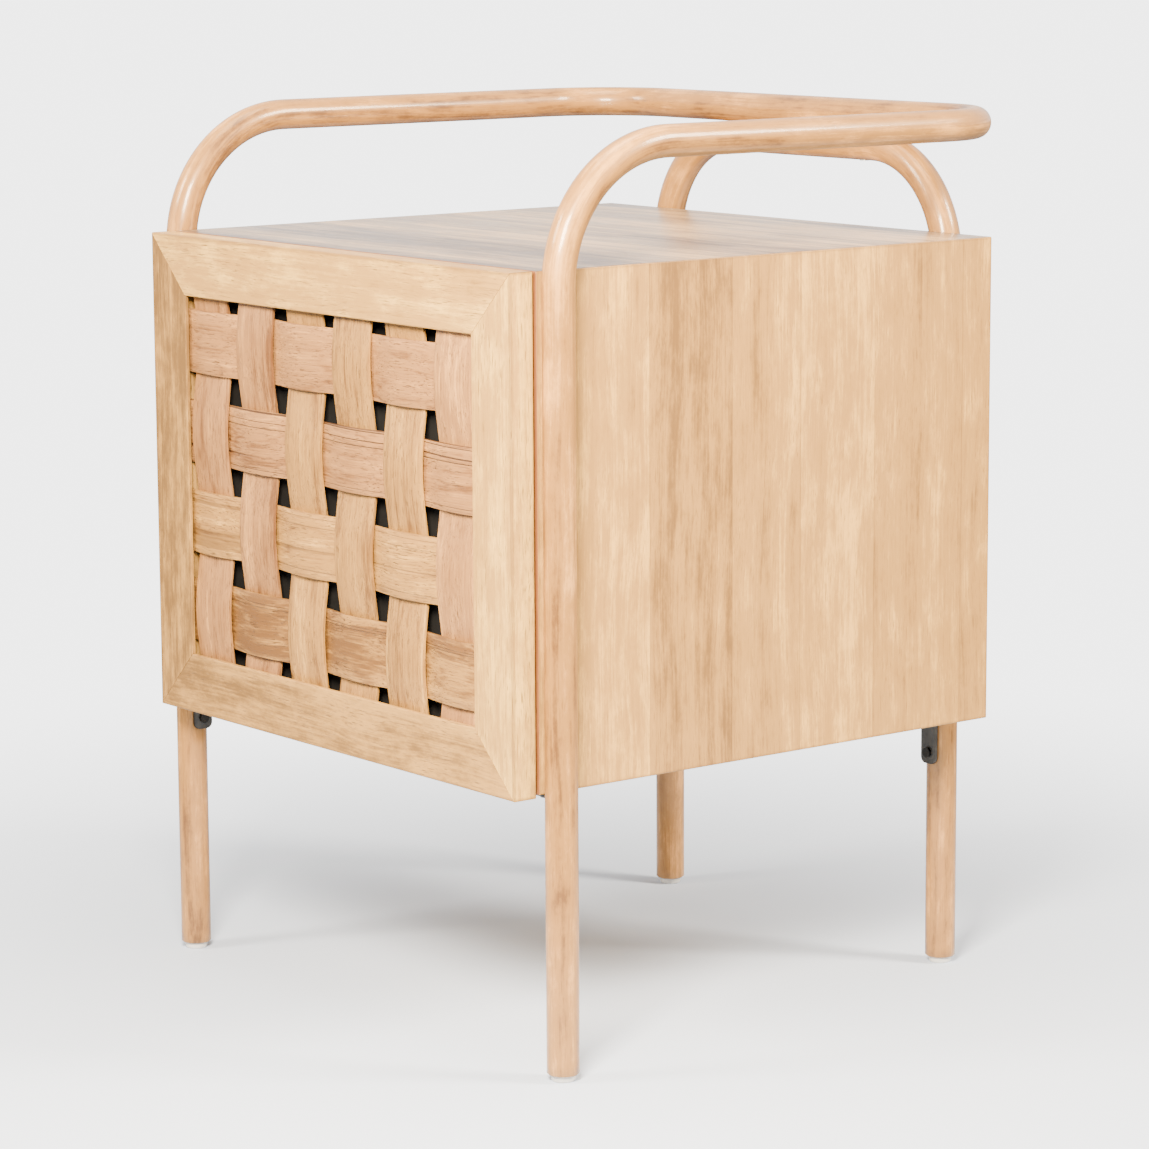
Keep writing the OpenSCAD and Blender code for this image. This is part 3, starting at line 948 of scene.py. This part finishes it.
@dataclass
class PoleSweep:
    """Grows a round pole ring by ring, and keeps its unbent coordinates."""

    radius: float
    sides: int = 44
    step: float = 7 * MM
    bend_step: float = math.radians(3.0)
    seed: float = 0.0

    def begin(self, foot: Vector, chamfer: float) -> None:
        """Starts at a foot, with its chamfered end closed.

        Args:
            foot: centre of the pole's lower end.
            chamfer: how much the end is chamfered.
        """
        self.bm = bmesh.new()
        self.layer = self.bm.verts.layers.float_vector.new("straight")
        self.chamfer = chamfer
        shrink = (self.radius - chamfer) / self.radius
        bmesh.ops.create_circle(self.bm, cap_ends=False, segments=self.sides,
                                radius=self.radius, matrix=Matrix.Translation(foot))
        self.ring = self.bm.verts[:]
        self.rim = self.bm.edges[:]
        for vert in self.ring:
            out = vert.co - foot
            vert[self.layer] = Vector((out.x, out.y, 0.0))
            vert.co = foot + out * shrink
        self.first = list(self.rim)
        self.centre = foot.copy()
        self.way = Vector((0.0, 0.0, 1.0))
        self.travelled = 0.0
        self.rings = [(self.ring, self.centre.copy(), 0.0)]
        self._grow(Matrix.Translation(self.way * chamfer), chamfer)
        for vert in self.ring:
            vert.co = self.centre + (vert.co - self.centre) / shrink

    def _grow(self, move: Matrix, length: float) -> None:
        """Adds the next ring.

        Args:
            move: what takes the last ring to the new one.
            length: how far the new ring is along the pole.
        """
        grown = bmesh.ops.extrude_edge_only(self.bm, edges=self.rim)["geom"]
        self.ring = [g for g in grown if isinstance(g, BMVert)]
        members = set(self.ring)
        self.rim = [g for g in grown if isinstance(g, BMEdge) and members.issuperset(g.verts)]
        bmesh.ops.transform(self.bm, matrix=move, verts=self.ring)
        self.travelled += length
        for vert in self.ring:
            seat = vert[self.layer]
            vert[self.layer] = Vector((seat.x, seat.y, self.travelled))
        self.centre = move @ self.centre
        self.way = (move.to_3x3() @ self.way).normalized()
        self.rings.append((self.ring, self.centre.copy(), self.travelled))

    def straight(self, length: float) -> None:
        """Grows a straight length.

        Args:
            length: how long it is.
        """
        count = max(1, round(length / self.step))
        for _ in range(count):
            self._grow(Matrix.Translation(self.way * (length / count)), length / count)

    def bend(self, centre: Vector, axis: str, angle: float) -> None:
        """Grows a bend.

        Args:
            centre: the bend's centre.
            axis: the axis that it turns about.
            angle: how far it turns.
        """
        count = max(1, round(abs(angle) / self.bend_step))
        reach = (self.centre - centre).length * abs(angle) / count
        there = Matrix.Translation(centre)
        turn = there @ Matrix.Rotation(angle / count, 4, axis) @ there.inverted()
        for _ in range(count):
            self._grow(turn, reach)

    def end(self) -> None:
        """Chamfers and closes the far end."""
        shrink = (self.radius - self.chamfer) / self.radius
        self._grow(Matrix.Translation(self.way * self.chamfer), self.chamfer)
        for vert in self.ring:
            vert.co = self.centre + (vert.co - self.centre) * shrink
        bmesh.ops.edgeloop_fill(self.bm, edges=self.first)
        bmesh.ops.edgeloop_fill(self.bm, edges=self.rim)
        bmesh.ops.recalc_face_normals(self.bm, faces=self.bm.faces[:])

    def whittle(self, amount: float) -> None:
        """Makes the pole a little uneven, inwards only, as turned cane is.

        Args:
            amount: the most that the surface goes in.
        """
        for ring, centre, along in self.rings:
            for vert in ring:
                seat = vert[self.layer]
                where = Vector((seat.x * 60, seat.y * 60, along * 9 + self.seed))
                waver = 0.5 + 0.5 * noise.noise(where)
                slow = 0.5 + 0.5 * noise.noise(Vector((self.seed, 3.0, along * 4.5)))
                cut = amount * (0.45 * waver + 0.55 * slow)
                out = vert.co - centre
                vert.co = centre + out * (1 - cut / self.radius)


@dataclass
class Poles(SubAssembly):
    """The long pole that is both front legs, the arms and the rail; and the rear arch."""

    pole_r: float = 12 * MM
    arm_bend: float = 97 * MM
    rail_bend: float = 70 * MM
    arch_bend: float = 84 * MM
    chamfer: float = 1.2 * MM
    uneven: float = 0.35 * MM
    seat_gap: float = 0.02 * MM
    seat_below: float = 32 * MM

    names = ("loop_pole", "arch_pole")
    labels = {"loop_pole": "long_pole", "arch_pole": "arch"}
    smooth_angle = 50.0
    slot = "pole_timber"

    def label(self, name: str) -> str:
        """Names the piece that stands for a node."""
        return self.labels[name]

    def shape(self, name: str) -> Shaper:
        """Sweeps the pole that stands for a node."""
        return self._loop() if name == "loop_pole" else self._arch()

    def _loop(self) -> Shaper:
        """Sweeps the long pole from the left foot round to the right one.

        Returns:
            The shaper with the pole.
        """
        low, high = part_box("loop_pole")
        leg_x = high.x - self.pole_r
        leg_y = low.y + self.pole_r
        rail_y = high.y - self.pole_r
        rail_z = high.z - self.pole_r
        turn_z = rail_z - self.arm_bend
        arm_length = rail_y - self.rail_bend - leg_y - self.arm_bend
        corner_x, corner_y = leg_x - self.rail_bend, rail_y - self.rail_bend
        quarter = math.pi / 2
        sweep = PoleSweep(self.pole_r, seed=2.0)
        sweep.begin(Vector((-leg_x, leg_y, low.z)), self.chamfer)
        sweep.straight(turn_z - low.z - self.chamfer)
        sweep.bend(Vector((-leg_x, leg_y + self.arm_bend, turn_z)), "X", -quarter)
        sweep.straight(arm_length)
        sweep.bend(Vector((-leg_x + self.rail_bend, corner_y, rail_z)), "Z", -quarter)
        sweep.straight(2 * corner_x)
        sweep.bend(Vector((corner_x, corner_y, rail_z)), "Z", -quarter)
        sweep.straight(arm_length)
        sweep.bend(Vector((leg_x, leg_y + self.arm_bend, turn_z)), "X", quarter)
        sweep.straight(turn_z - low.z - self.chamfer)
        sweep.end()
        sweep.whittle(self.uneven)
        self._seat(sweep)
        return Shaper(sweep.bm)

    def _seat(self, sweep: PoleSweep) -> None:
        """Flattens the front legs where they bear on the case's sides.

        Args:
            sweep: the long pole.
        """
        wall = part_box("side_panel_right")[1].x + self.seat_gap
        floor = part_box("bottom_panel")[0].z - self.seat_below
        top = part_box("top_panel")[1].z
        for vert in sweep.bm.verts:
            if floor < vert.co.z < top and abs(vert.co.x) < wall:
                vert.co.x = math.copysign(wall, vert.co.x)

    def _arch(self) -> Shaper:
        """Sweeps the rear arch from the left foot over to the right one.

        Returns:
            The shaper with the arch.
        """
        low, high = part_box("arch_pole")
        leg_x = high.x - self.pole_r
        leg_y = (low.y + high.y) / 2
        turn_z = high.z - self.pole_r - self.arch_bend
        sweep = PoleSweep(self.pole_r, seed=11.0)
        sweep.begin(Vector((-leg_x, leg_y, low.z)), self.chamfer)
        sweep.straight(turn_z - low.z - self.chamfer)
        sweep.bend(Vector((-leg_x + self.arch_bend, leg_y, turn_z)), "Y", math.pi / 2)
        sweep.straight(2 * (leg_x - self.arch_bend))
        sweep.bend(Vector((leg_x - self.arch_bend, leg_y, turn_z)), "Y", math.pi / 2)
        sweep.straight(turn_z - low.z - self.chamfer)
        sweep.end()
        sweep.whittle(self.uneven)
        return Shaper(sweep.bm)

    def finish(self, name: str, order: int) -> Material:
        """Gives a pole its glossy cane finish.

        Args:
            name: the node that the pole stands for.
            order: its place among the pieces.

        Returns:
            The material.
        """
        return Timber(name.replace("_", " ") + " cane", POLE_TIMBER, Grain.ALONG_POLE,
                      seed=4.0 + 3.0 * order, streaks=1.1, mottling=1.0, fibres=0.5,
                      pores=0.35, rough=0.34, rough_swing=0.1, coat=0.4,
                      coat_rough=0.12, marks=0.5, relief_depth=0.0002).make()


# ---- drawer front ----


@dataclass
class DrawerFront(SubAssembly):
    """The mitred and rebated frame of the drawer front."""

    width: float = 46 * MM
    thick: float = 20 * MM
    lip: float = 3.0 * MM
    rebate: float = 8 * MM
    ease: float = 1.1 * MM
    joint: float = 0.2 * MM
    # Painted light: each member's tone shift darkens the left stile and bottom rail and lightens
    # the right stile and top rail, as light falls across the front.
    painted_light_tones: dict[str, float] = field(default_factory=lambda: {
        "front_rail_bottom": -0.15, "front_stile_left": -0.32, "front_rail_top": 0.1,
        "front_stile_right": 0.22})

    names = ("front_rail_bottom", "front_stile_left", "front_rail_top", "front_stile_right")
    suffix = "_member"
    body = Body.DRAWER
    slot = "front_timber"

    def _member(self, length: float) -> Shaper:
        """Makes a member along X, its outer edge at z = 0 and its face at y = 0.

        Args:
            length: its length along the outer edge.

        Returns:
            The shaper with the member.
        """
        solid = self.width - self.rebate
        section = [(0.0, 0.0), (0.0, self.width), (self.lip, self.width), (self.lip, solid),
                   (self.thick, solid), (self.thick, 0.0)]
        start = -length / 2
        shaper = Shaper().profile([Vector((start, y, z)) for y, z in section],
                                  Vector((length, 0.0, 0.0)))
        shaper.ease(self.ease, 3, self._is_shown_edge)
        for side in (-1.0, 1.0):
            corner = Vector((side * (length / 2 - self.joint), 0.0, 0.0))
            shaper.cut(corner, Vector((side, 0.0, 1.0)).normalized())
        return shaper

    def _is_shown_edge(self, edge: BMEdge) -> bool:
        """Says whether an edge is one of the long ones that show.

        Args:
            edge: an edge of the member.

        Returns:
            True for the edges at the face and at the outer back.
        """
        middle = (edge.verts[0].co + edge.verts[1].co) / 2
        along = abs(edge.verts[0].co.x - edge.verts[1].co.x) > self.width
        return along and (middle.y < 0.1 * MM or middle.z < 0.1 * MM)

    def _corners(self) -> tuple[Vector, Vector]:
        """Reads the lowest and the highest corner of the frame."""
        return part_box("front_rail_bottom")[0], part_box("front_rail_top")[1]

    def shape(self, name: str) -> Shaper:
        """Makes a member and turns it to its side of the frame.

        Args:
            name: the node that the member stands for.

        Returns:
            The shaper with the member.
        """
        low, high = self._corners()
        across, tall = high.x - low.x, high.z - low.z
        middle = (low + high) / 2
        angle, place, length = {
            "front_rail_bottom": (0.0, Vector((middle.x, low.y, low.z)), across),
            "front_stile_left": (90.0, Vector((low.x, low.y, middle.z)), tall),
            "front_rail_top": (180.0, Vector((middle.x, low.y, high.z)), across),
            "front_stile_right": (270.0, Vector((high.x, low.y, middle.z)), tall),
        }[name]
        turn = Matrix.Rotation(math.radians(angle), 4, "Y")
        return self._member(length).place(Matrix.Translation(place) @ turn)

    def finish(self, name: str, order: int) -> Material:
        """Runs a member's grain along it.

        Args:
            name: the node that the member stands for.
            order: its place among the pieces.

        Returns:
            The material.
        """
        low, high = self._corners()
        grain = Grain.ALONG_X if "rail" in name else Grain.ALONG_Z
        # The shift is the member's painted light tone.
        return Timber(name.replace("_", " ") + " timber", FRONT_TIMBER, grain,
                      seed=21.0 + 2.3 * order, shift=self.painted_light_tones[name], streaks=0.5,
                      mottling=0.85, fibres=0.5, pores=0.7, relief_depth=0.0006,
                      centre=(low + high) / 2, half=(high - low) / 2,
                      wear_reach=1.8 * MM, wear=0.55).make()


@dataclass
class Weave(SubAssembly):
    """The woven panel: six upright and four cross strips, bowed over one another."""

    thick: float = 2.4 * MM
    bow: float = 3.0 * MM
    middle_y: float = 7.3 * MM
    pitch_x: float = 63.44 * MM
    pitch_z: float = 70.0 * MM
    first_x: float = -158.6 * MM
    cross_half: float = 25 * MM
    nibbled: float = 1.3 * MM
    steps: int = 64
    steps_across: int = 4
    ease: float = 0.5 * MM
    pinkish: tuple[str, ...] = ("weave_upright_1", "weave_upright_2", "weave_upright_6",
                                "weave_cross_1", "weave_cross_2")
    grooved: dict[str, float] = field(default_factory=lambda: {
        "weave_cross_2": 0.9, "weave_cross_3": 0.4, "weave_upright_5": 0.45,
        "weave_upright_3": 0.3, "weave_cross_4": 0.5})

    names = (*(f"weave_upright_{number}" for number in range(1, 7)),
             *(f"weave_cross_{number}" for number in range(1, 5)))
    suffix = "_slat"
    smooth_angle = 32.0
    body = Body.DRAWER
    slot = "weave_timber"

    def shape(self, name: str) -> Shaper:
        """Bends a strip out of a flat slat with slightly uneven edges.

        Args:
            name: the node that the strip stands for.

        Returns:
            The shaper with the strip.
        """
        low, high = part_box(name)
        upright = "upright" in name
        index = int(name[-1])
        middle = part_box("front_rail_top")[0].y + self.middle_y
        run, across = (2, 0) if upright else (0, 2)
        pitch = self.pitch_z if upright else self.pitch_x
        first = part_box("weave_cross_4")[0].z + self.cross_half if upright else self.first_x
        side = -1.0 if index % 2 == 1 else 1.0
        flat_low, flat_high = low.copy(), high.copy()
        flat_low.y, flat_high.y = middle - self.thick / 2, middle + self.thick / 2
        shaper = Shaper().block(flat_low, flat_high).ease(self.ease, 2)
        shaper.divide(run, low[run], high[run], self.steps)
        shaper.divide(across, low[across], high[across], self.steps_across)
        centre = (low[across] + high[across]) / 2
        half = (high[across] - low[across]) / 2
        seed = index * 7.3 + (40.0 if upright else 0.0)
        for vert in shaper.bm.verts:
            along = vert.co[run]
            offset = (vert.co[across] - centre) / half
            vert.co.y += side * self.bow * math.cos(math.pi * (along - first) / pitch)
            edge = 1.0 if offset > 0 else -1.0
            nibble = 0.5 + 0.5 * noise.noise(Vector((along * 14 + seed, edge * 5, seed)))
            vert.co[across] -= offset * self.nibbled * nibble
        return shaper

    def finish(self, name: str, order: int) -> Material:
        """Gives a strip its own piece of timber.

        Args:
            name: the node that the strip stands for.
            order: its place among the pieces.

        Returns:
            The material.
        """
        low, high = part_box(name)
        grain = Grain.ALONG_Z if "upright" in name else Grain.ALONG_X
        drift = noise.noise(Vector((order * 3.7, 1.0, 5.0)))
        figure = noise.noise(Vector((order * 2.3, 8.0, 2.0)))
        palette = STRIP_PINK if name in self.pinkish else STRIP_TAN
        return Timber(name.replace("_", " ") + " timber", palette, grain,
                      seed=50.0 + 3.9 * order, shift=0.45 * drift - 0.03,
                      streaks=1.0 + 0.5 * figure, mottling=0.6, fibres=0.8, pores=0.65,
                      grooves=self.grooved.get(name, 0.1), relief_depth=0.0009,
                      relief_strength=0.8, centre=(low + high) / 2, half=(high - low) / 2,
                      wear_reach=0.9 * MM, wear=0.55).make()


# ---- drawer box ----


@dataclass
class DrawerBox(SubAssembly):
    """The drawer's own boards and the dark boards behind the weave."""

    ease: float = 1.0 * MM
    thin_ease: float = 0.3 * MM

    names = ("drawer_side_left", "drawer_side_right", "drawer_box_back", "drawer_floor",
             "drawer_box_front", "weave_backing")
    pale = {"drawer_side_left": Grain.ALONG_Y, "drawer_side_right": Grain.ALONG_Y,
            "drawer_box_back": Grain.ALONG_X, "drawer_floor": Grain.ALONG_X}
    suffix = "_board"
    body = Body.DRAWER

    @cached_property
    def black(self) -> Material:
        """Makes the near-black paint once."""
        return Paint("black board", "050404", "0a0909", 0.7).make()

    def slot_of(self, name: str) -> str:
        """Says which slot name a board's finish belongs to."""
        return "box_timber" if name in self.pale else "black_board"

    def shape(self, name: str) -> Shaper:
        """Makes a board with eased edges."""
        eased = self.thin_ease if name == "weave_backing" else self.ease
        return Shaper().block(*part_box(name)).ease(eased, 2)

    def finish(self, name: str, order: int) -> Material:
        """Gives the box pale boards, and the weave near-black ones behind it.

        Args:
            name: the node that the board stands for.
            order: its place among the pieces.

        Returns:
            The material.
        """
        if name not in self.pale:
            return self.black
        return Timber(name.replace("_", " ") + " timber", BOX_TIMBER, self.pale[name],
                      seed=90.0 + 4.1 * order, rough=0.55, coat=0.0).make()


# ---- fittings ----


@dataclass
class Brackets(SubAssembly):
    """Four black angle brackets with round free corners and a soft bend."""

    thick: float = 3 * MM
    corner: float = 5 * MM
    bend_out: float = 2.6 * MM
    bend_in: float = 1.4 * MM
    ease: float = 0.35 * MM

    names = ("bracket_front_left", "bracket_front_right", "bracket_rear_left",
             "bracket_rear_right")
    suffix = "_angle"
    smooth_angle = 30.0
    slot = "black_steel"

    def _bracket(self, width: float, level: float, drop: float) -> Shaper:
        """Makes a bracket with one flange down x = 0 and one along +X.

        Args:
            width: width of both flanges.
            level: length of the level flange.
            drop: length of the upright flange.

        Returns:
            The shaper with the bracket.
        """
        outline = [(0.0, 0.0), (level, 0.0), (level, -self.thick),
                   (self.thick, -self.thick), (self.thick, -drop), (0.0, -drop)]
        shaper = Shaper().profile([Vector((x, -width / 2, z)) for x, z in outline],
                                  Vector((0.0, width, 0.0)))
        shaper.ease(self.bend_out, 4, lambda e: self._runs_at(e, 0.0, 0.0))
        shaper.ease(self.bend_in, 4, lambda e: self._runs_at(e, self.thick, -self.thick))
        shaper.ease(self.corner, 6, lambda e: self._is_free_corner(e, level, drop))
        return shaper.ease(self.ease, 2)

    @staticmethod
    def _runs_at(edge: BMEdge, x: float, z: float) -> bool:
        """Says whether an edge runs across the bracket at a given corner."""
        return all(abs(v.co.x - x) < HAIR and abs(v.co.z - z) < HAIR for v in edge.verts)

    @staticmethod
    def _is_free_corner(edge: BMEdge, level: float, drop: float) -> bool:
        """Says whether an edge goes through the sheet at a free corner.

        Args:
            edge: an edge of the bracket.
            level: length of the level flange.
            drop: length of the upright flange.

        Returns:
            True for the short edges at the ends of both flanges.
        """
        first, second = edge.verts[0].co, edge.verts[1].co
        across = abs(first.y - second.y) < HAIR
        end_x = min(first.x, second.x) > level - HAIR
        end_z = max(first.z, second.z) < HAIR - drop
        return across and (end_x or end_z)

    def shape(self, name: str) -> Shaper:
        """Makes a bracket in its place.

        Args:
            name: the node that the bracket stands for.

        Returns:
            The shaper with the bracket.
        """
        low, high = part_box(name)
        left = name.endswith("left")
        size = high - low
        if "front" in name:
            place = Vector((low.x if left else high.x, (low.y + high.y) / 2, high.z))
            turn = Matrix.Rotation(0.0 if left else math.pi, 4, "Z")
            width, level = size.y, size.x
        else:
            place = Vector(((low.x + high.x) / 2, high.y, high.z))
            turn = Matrix.Rotation(-math.pi / 2, 4, "Z")
            width, level = size.x, size.y
        return self._bracket(width, level, size.z).place(Matrix.Translation(place) @ turn)

    @cached_property
    def paint(self) -> Material:
        """Makes the brackets' paint once."""
        return Paint("black bracket paint", "17150f", "2b2925", 0.42).make()

    def finish(self, name: str, order: int) -> Material:
        """Paints a bracket black."""
        return self.paint


@dataclass
class Glides(SubAssembly):
    """Four pale nylon glides with a tapered foot."""

    foot: float = 1.5 * MM
    ease: float = 0.5 * MM
    sides: int = 40

    names = ("glide_front_left", "glide_front_right", "glide_rear_left", "glide_rear_right")
    suffix = "_foot"
    smooth_angle = 50.0
    slot = "glide_nylon"

    def shape(self, name: str) -> Shaper:
        """Makes a glide, its tapered foot first.

        Args:
            name: the node that the glide stands for.

        Returns:
            The shaper with the glide.
        """
        low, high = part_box(name)
        radius = (high.x - low.x) / 2
        centre = (low + high) / 2
        shaper = Shaper()
        bmesh.ops.create_cone(
            shaper.bm, cap_ends=True, segments=self.sides, radius1=radius - self.foot / 2,
            radius2=radius, depth=self.foot,
            matrix=Matrix.Translation((centre.x, centre.y, low.z + self.foot / 2)))
        top = max(shaper.bm.faces, key=lambda f: f.calc_center_median().z)
        grown = bmesh.ops.extrude_face_region(shaper.bm, geom=[top])["geom"]
        verts = [g for g in grown if isinstance(g, BMVert)]
        bmesh.ops.delete(shaper.bm, geom=[top], context="FACES")
        rise = Vector((0.0, 0.0, high.z - low.z - self.foot))
        bmesh.ops.translate(shaper.bm, verts=verts, vec=rise)
        return shaper.ease(self.ease, 3)

    @cached_property
    def nylon(self) -> Material:
        """Makes the glides' milky nylon once."""
        return Paint("milky nylon", "e9e7e2", "dcdad4", 0.35, see_through=0.25).make()

    def finish(self, name: str, order: int) -> Material:
        """Gives a glide its nylon."""
        return self.nylon


class Hardware:
    """The screws, bolts and slides, which keep their own shapes and get their metal."""

    def dress(self) -> None:
        """Gives every remaining node its finish."""
        steel = Metal("zinc plate", "a9abad", "d6d7d8", 0.34).make()
        screws = Metal("screw steel", "b4b2ab", "dddbd4", 0.3, brushed=Grain.ALONG_X).make()
        black = Metal("blackened screw", "1c1a17", "45423c", 0.38, metallic=0.7).make()
        cage = Metal("ball cage steel", "6f7174", "b9bbbd", 0.28).make()
        chosen = {
            "slide_cabinet": steel, "slide_middle": steel, "slide_runner": steel,
            "ball_cage": cage, "bracket_pole_screws": black, "bracket_case_screws": black,
            "rail_screws": screws, "pole_bolts": screws, "front_screws": screws,
            "slide_case_screws": screws, "slide_drawer_screws": screws,
        }
        for name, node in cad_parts.items():
            for start, material in chosen.items():
                if name.startswith(start):
                    for slot in node.material_slots:
                        slot.material = material
                    LOG.info("%s keeps its shape, with %s", name, material.name)


# ---- studio ----


@dataclass(frozen=True)
class Lamp:
    """A softbox, hung by how far it is to the camera's right, towards it and up."""

    name: str
    right: float
    near: float
    up: float
    size: tuple[float, float]
    power: float


LAMPS = (
    Lamp("left_softbox", -2.3, 0.8, 1.9, (0.7, 0.8), 110.0),
    Lamp("right_softbox", 2.3, 0.7, 1.9, (0.7, 0.8), 195.0),
    Lamp("key_softbox", -0.25, 1.45, 1.15, (0.45, 0.45), 145.0),
    Lamp("top_softbox", 0.0, 0.2, 2.6, (1.2, 1.2), 50.0),
)


@dataclass
class Studio:
    """The pale sweep, the soft lights and the camera."""

    lens: float = 127.27
    sensor: float = 36.0
    clip_end: float = 200.0
    azimuth: float = 52.14
    tilt: float = 9.48
    roll: float = -0.32
    stand: Vector = field(default_factory=lambda: Vector((2.4490, -1.9092, 0.8303)))
    lit_height: float = 0.35
    floor_size: float = 140.0
    floor_near: Colour = (0.60, 0.70, 0.90, 1.0)
    floor_worn: Colour = (0.62, 0.72, 0.92, 1.0)
    pool: tuple[float, float] = (0.25, 1.25)
    glow: float = 4.3
    glow_around: float = 0.45
    world: float = 0.34
    mirrored: float = 1.5
    warmth: tuple[float, float, float] = (1.0, 0.85, 0.64)

    def camera(self) -> None:
        """Places the camera."""
        data = bpy.data.cameras.new("studio_camera")
        data.lens = self.lens
        data.sensor_width = self.sensor
        data.clip_end = self.clip_end
        around, down = math.radians(self.azimuth), math.radians(self.tilt)
        ahead = Vector((-math.sin(around) * math.cos(down), math.cos(around) * math.cos(down),
                        -math.sin(down)))
        right = ahead.cross(Vector((0, 0, 1))).normalized()
        up = right.cross(ahead)
        lean = math.radians(self.roll)
        side = right * math.cos(lean) + up * math.sin(lean)
        rise = up * math.cos(lean) - right * math.sin(lean)
        made = add_object("studio_camera", data)
        made.location = self.stand
        made.rotation_euler = Matrix((side, rise, -ahead)).transposed().to_euler()
        bpy.context.scene.camera = made

    def floor(self) -> None:
        """Lays the floor, which glows evenly away from the table."""
        bm = bmesh.new()
        bmesh.ops.create_grid(bm, x_segments=1, y_segments=1, size=self.floor_size / 2)
        mesh = bpy.data.meshes.new("studio_floor")
        bm.to_mesh(mesh)
        bm.free()
        made = add_object("studio_floor", mesh)
        material, sketch, shader = Finish.blank("pale floor")
        _, laid = Finish.turned(sketch, Grain.ALONG_X)
        cloud = sketch.noise(laid, (3.0, 3.0, 3.0), 4.0)
        sketch.fill(shader, Base_Color=sketch.mix(cloud, self.floor_near, self.floor_worn),
                    Roughness=0.7, Specular_IOR_Level=0.12)
        away = sketch.node("ShaderNodeVectorMath", operation="LENGTH")
        sketch.feed(away.inputs[0], laid)
        far = sketch.window(away.outputs["Value"], *self.pool)
        seen = sketch.node("ShaderNodeLightPath").outputs["Is Camera Ray"]
        strength = sketch.math("MULTIPLY_ADD", seen, self.glow - self.glow_around,
                               self.glow_around)
        glow = sketch.fill(sketch.node("ShaderNodeEmission"), Strength=strength)
        blend = sketch.fill(sketch.node("ShaderNodeMixShader"), Fac=far)
        sketch.feed(blend.inputs[1], shader.outputs["BSDF"])
        sketch.feed(blend.inputs[2], glow.outputs["Emission"])
        out = next(n for n in sketch.tree.nodes if n.type == "OUTPUT_MATERIAL")
        sketch.feed(out.inputs["Surface"], blend.outputs[0])
        mesh.materials.append(material)

    def lamp(self, lamp: Lamp) -> None:
        """Hangs one softbox aimed at the table.

        Args:
            lamp: what it is and where it hangs.
        """
        around = math.radians(self.azimuth)
        back = Vector((math.sin(around), -math.cos(around), 0.0))
        right = Vector((math.cos(around), math.sin(around), 0.0))
        place = right * lamp.right + back * lamp.near + Vector((0.0, 0.0, 1.0)) * lamp.up
        data = bpy.data.lights.new(lamp.name, "AREA")
        data.shape = "RECTANGLE"
        data.size, data.size_y = lamp.size
        data.energy = lamp.power
        data.color = self.warmth
        made = add_object(lamp.name, data)
        made.location = place
        aim = (Vector((0.0, 0.0, self.lit_height)) - place).normalized()
        made.rotation_euler = aim.to_track_quat("-Z", "Y").to_euler()

    def lights(self) -> None:
        """Hangs the lamps and sets the room's own light."""
        for lamp in LAMPS:
            self.lamp(lamp)
        world = bpy.data.worlds.new("studio")
        bpy.context.scene.world = world
        world.use_nodes = True
        sketch = Sketch(world.node_tree)
        path = sketch.node("ShaderNodeLightPath")
        shown = sketch.times(path.outputs["Is Camera Ray"], self.glow - self.world)
        mirrored = sketch.times(path.outputs["Is Glossy Ray"], self.mirrored)
        strength = sketch.plus(sketch.plus(shown, mirrored), self.world)
        sketch.fill(world.node_tree.nodes["Background"], Color=(1.0, 1.0, 1.0, 1.0),
                    Strength=strength)


def main() -> None:
    """Builds the studio and every sub-assembly in order."""
    logging.basicConfig(level=logging.INFO, format="%(message)s")
    Finish.effects = SharedEffects()
    studio = Studio()
    studio.camera()
    studio.floor()
    studio.lights()
    for part in (Case(), Poles(), DrawerFront(), Weave(), DrawerBox(), Brackets(), Glides()):
        LOG.info("building %s", type(part).__name__)
        part.dress(part.build())
    Hardware().dress()


if __name__ == "__main__":
    main()
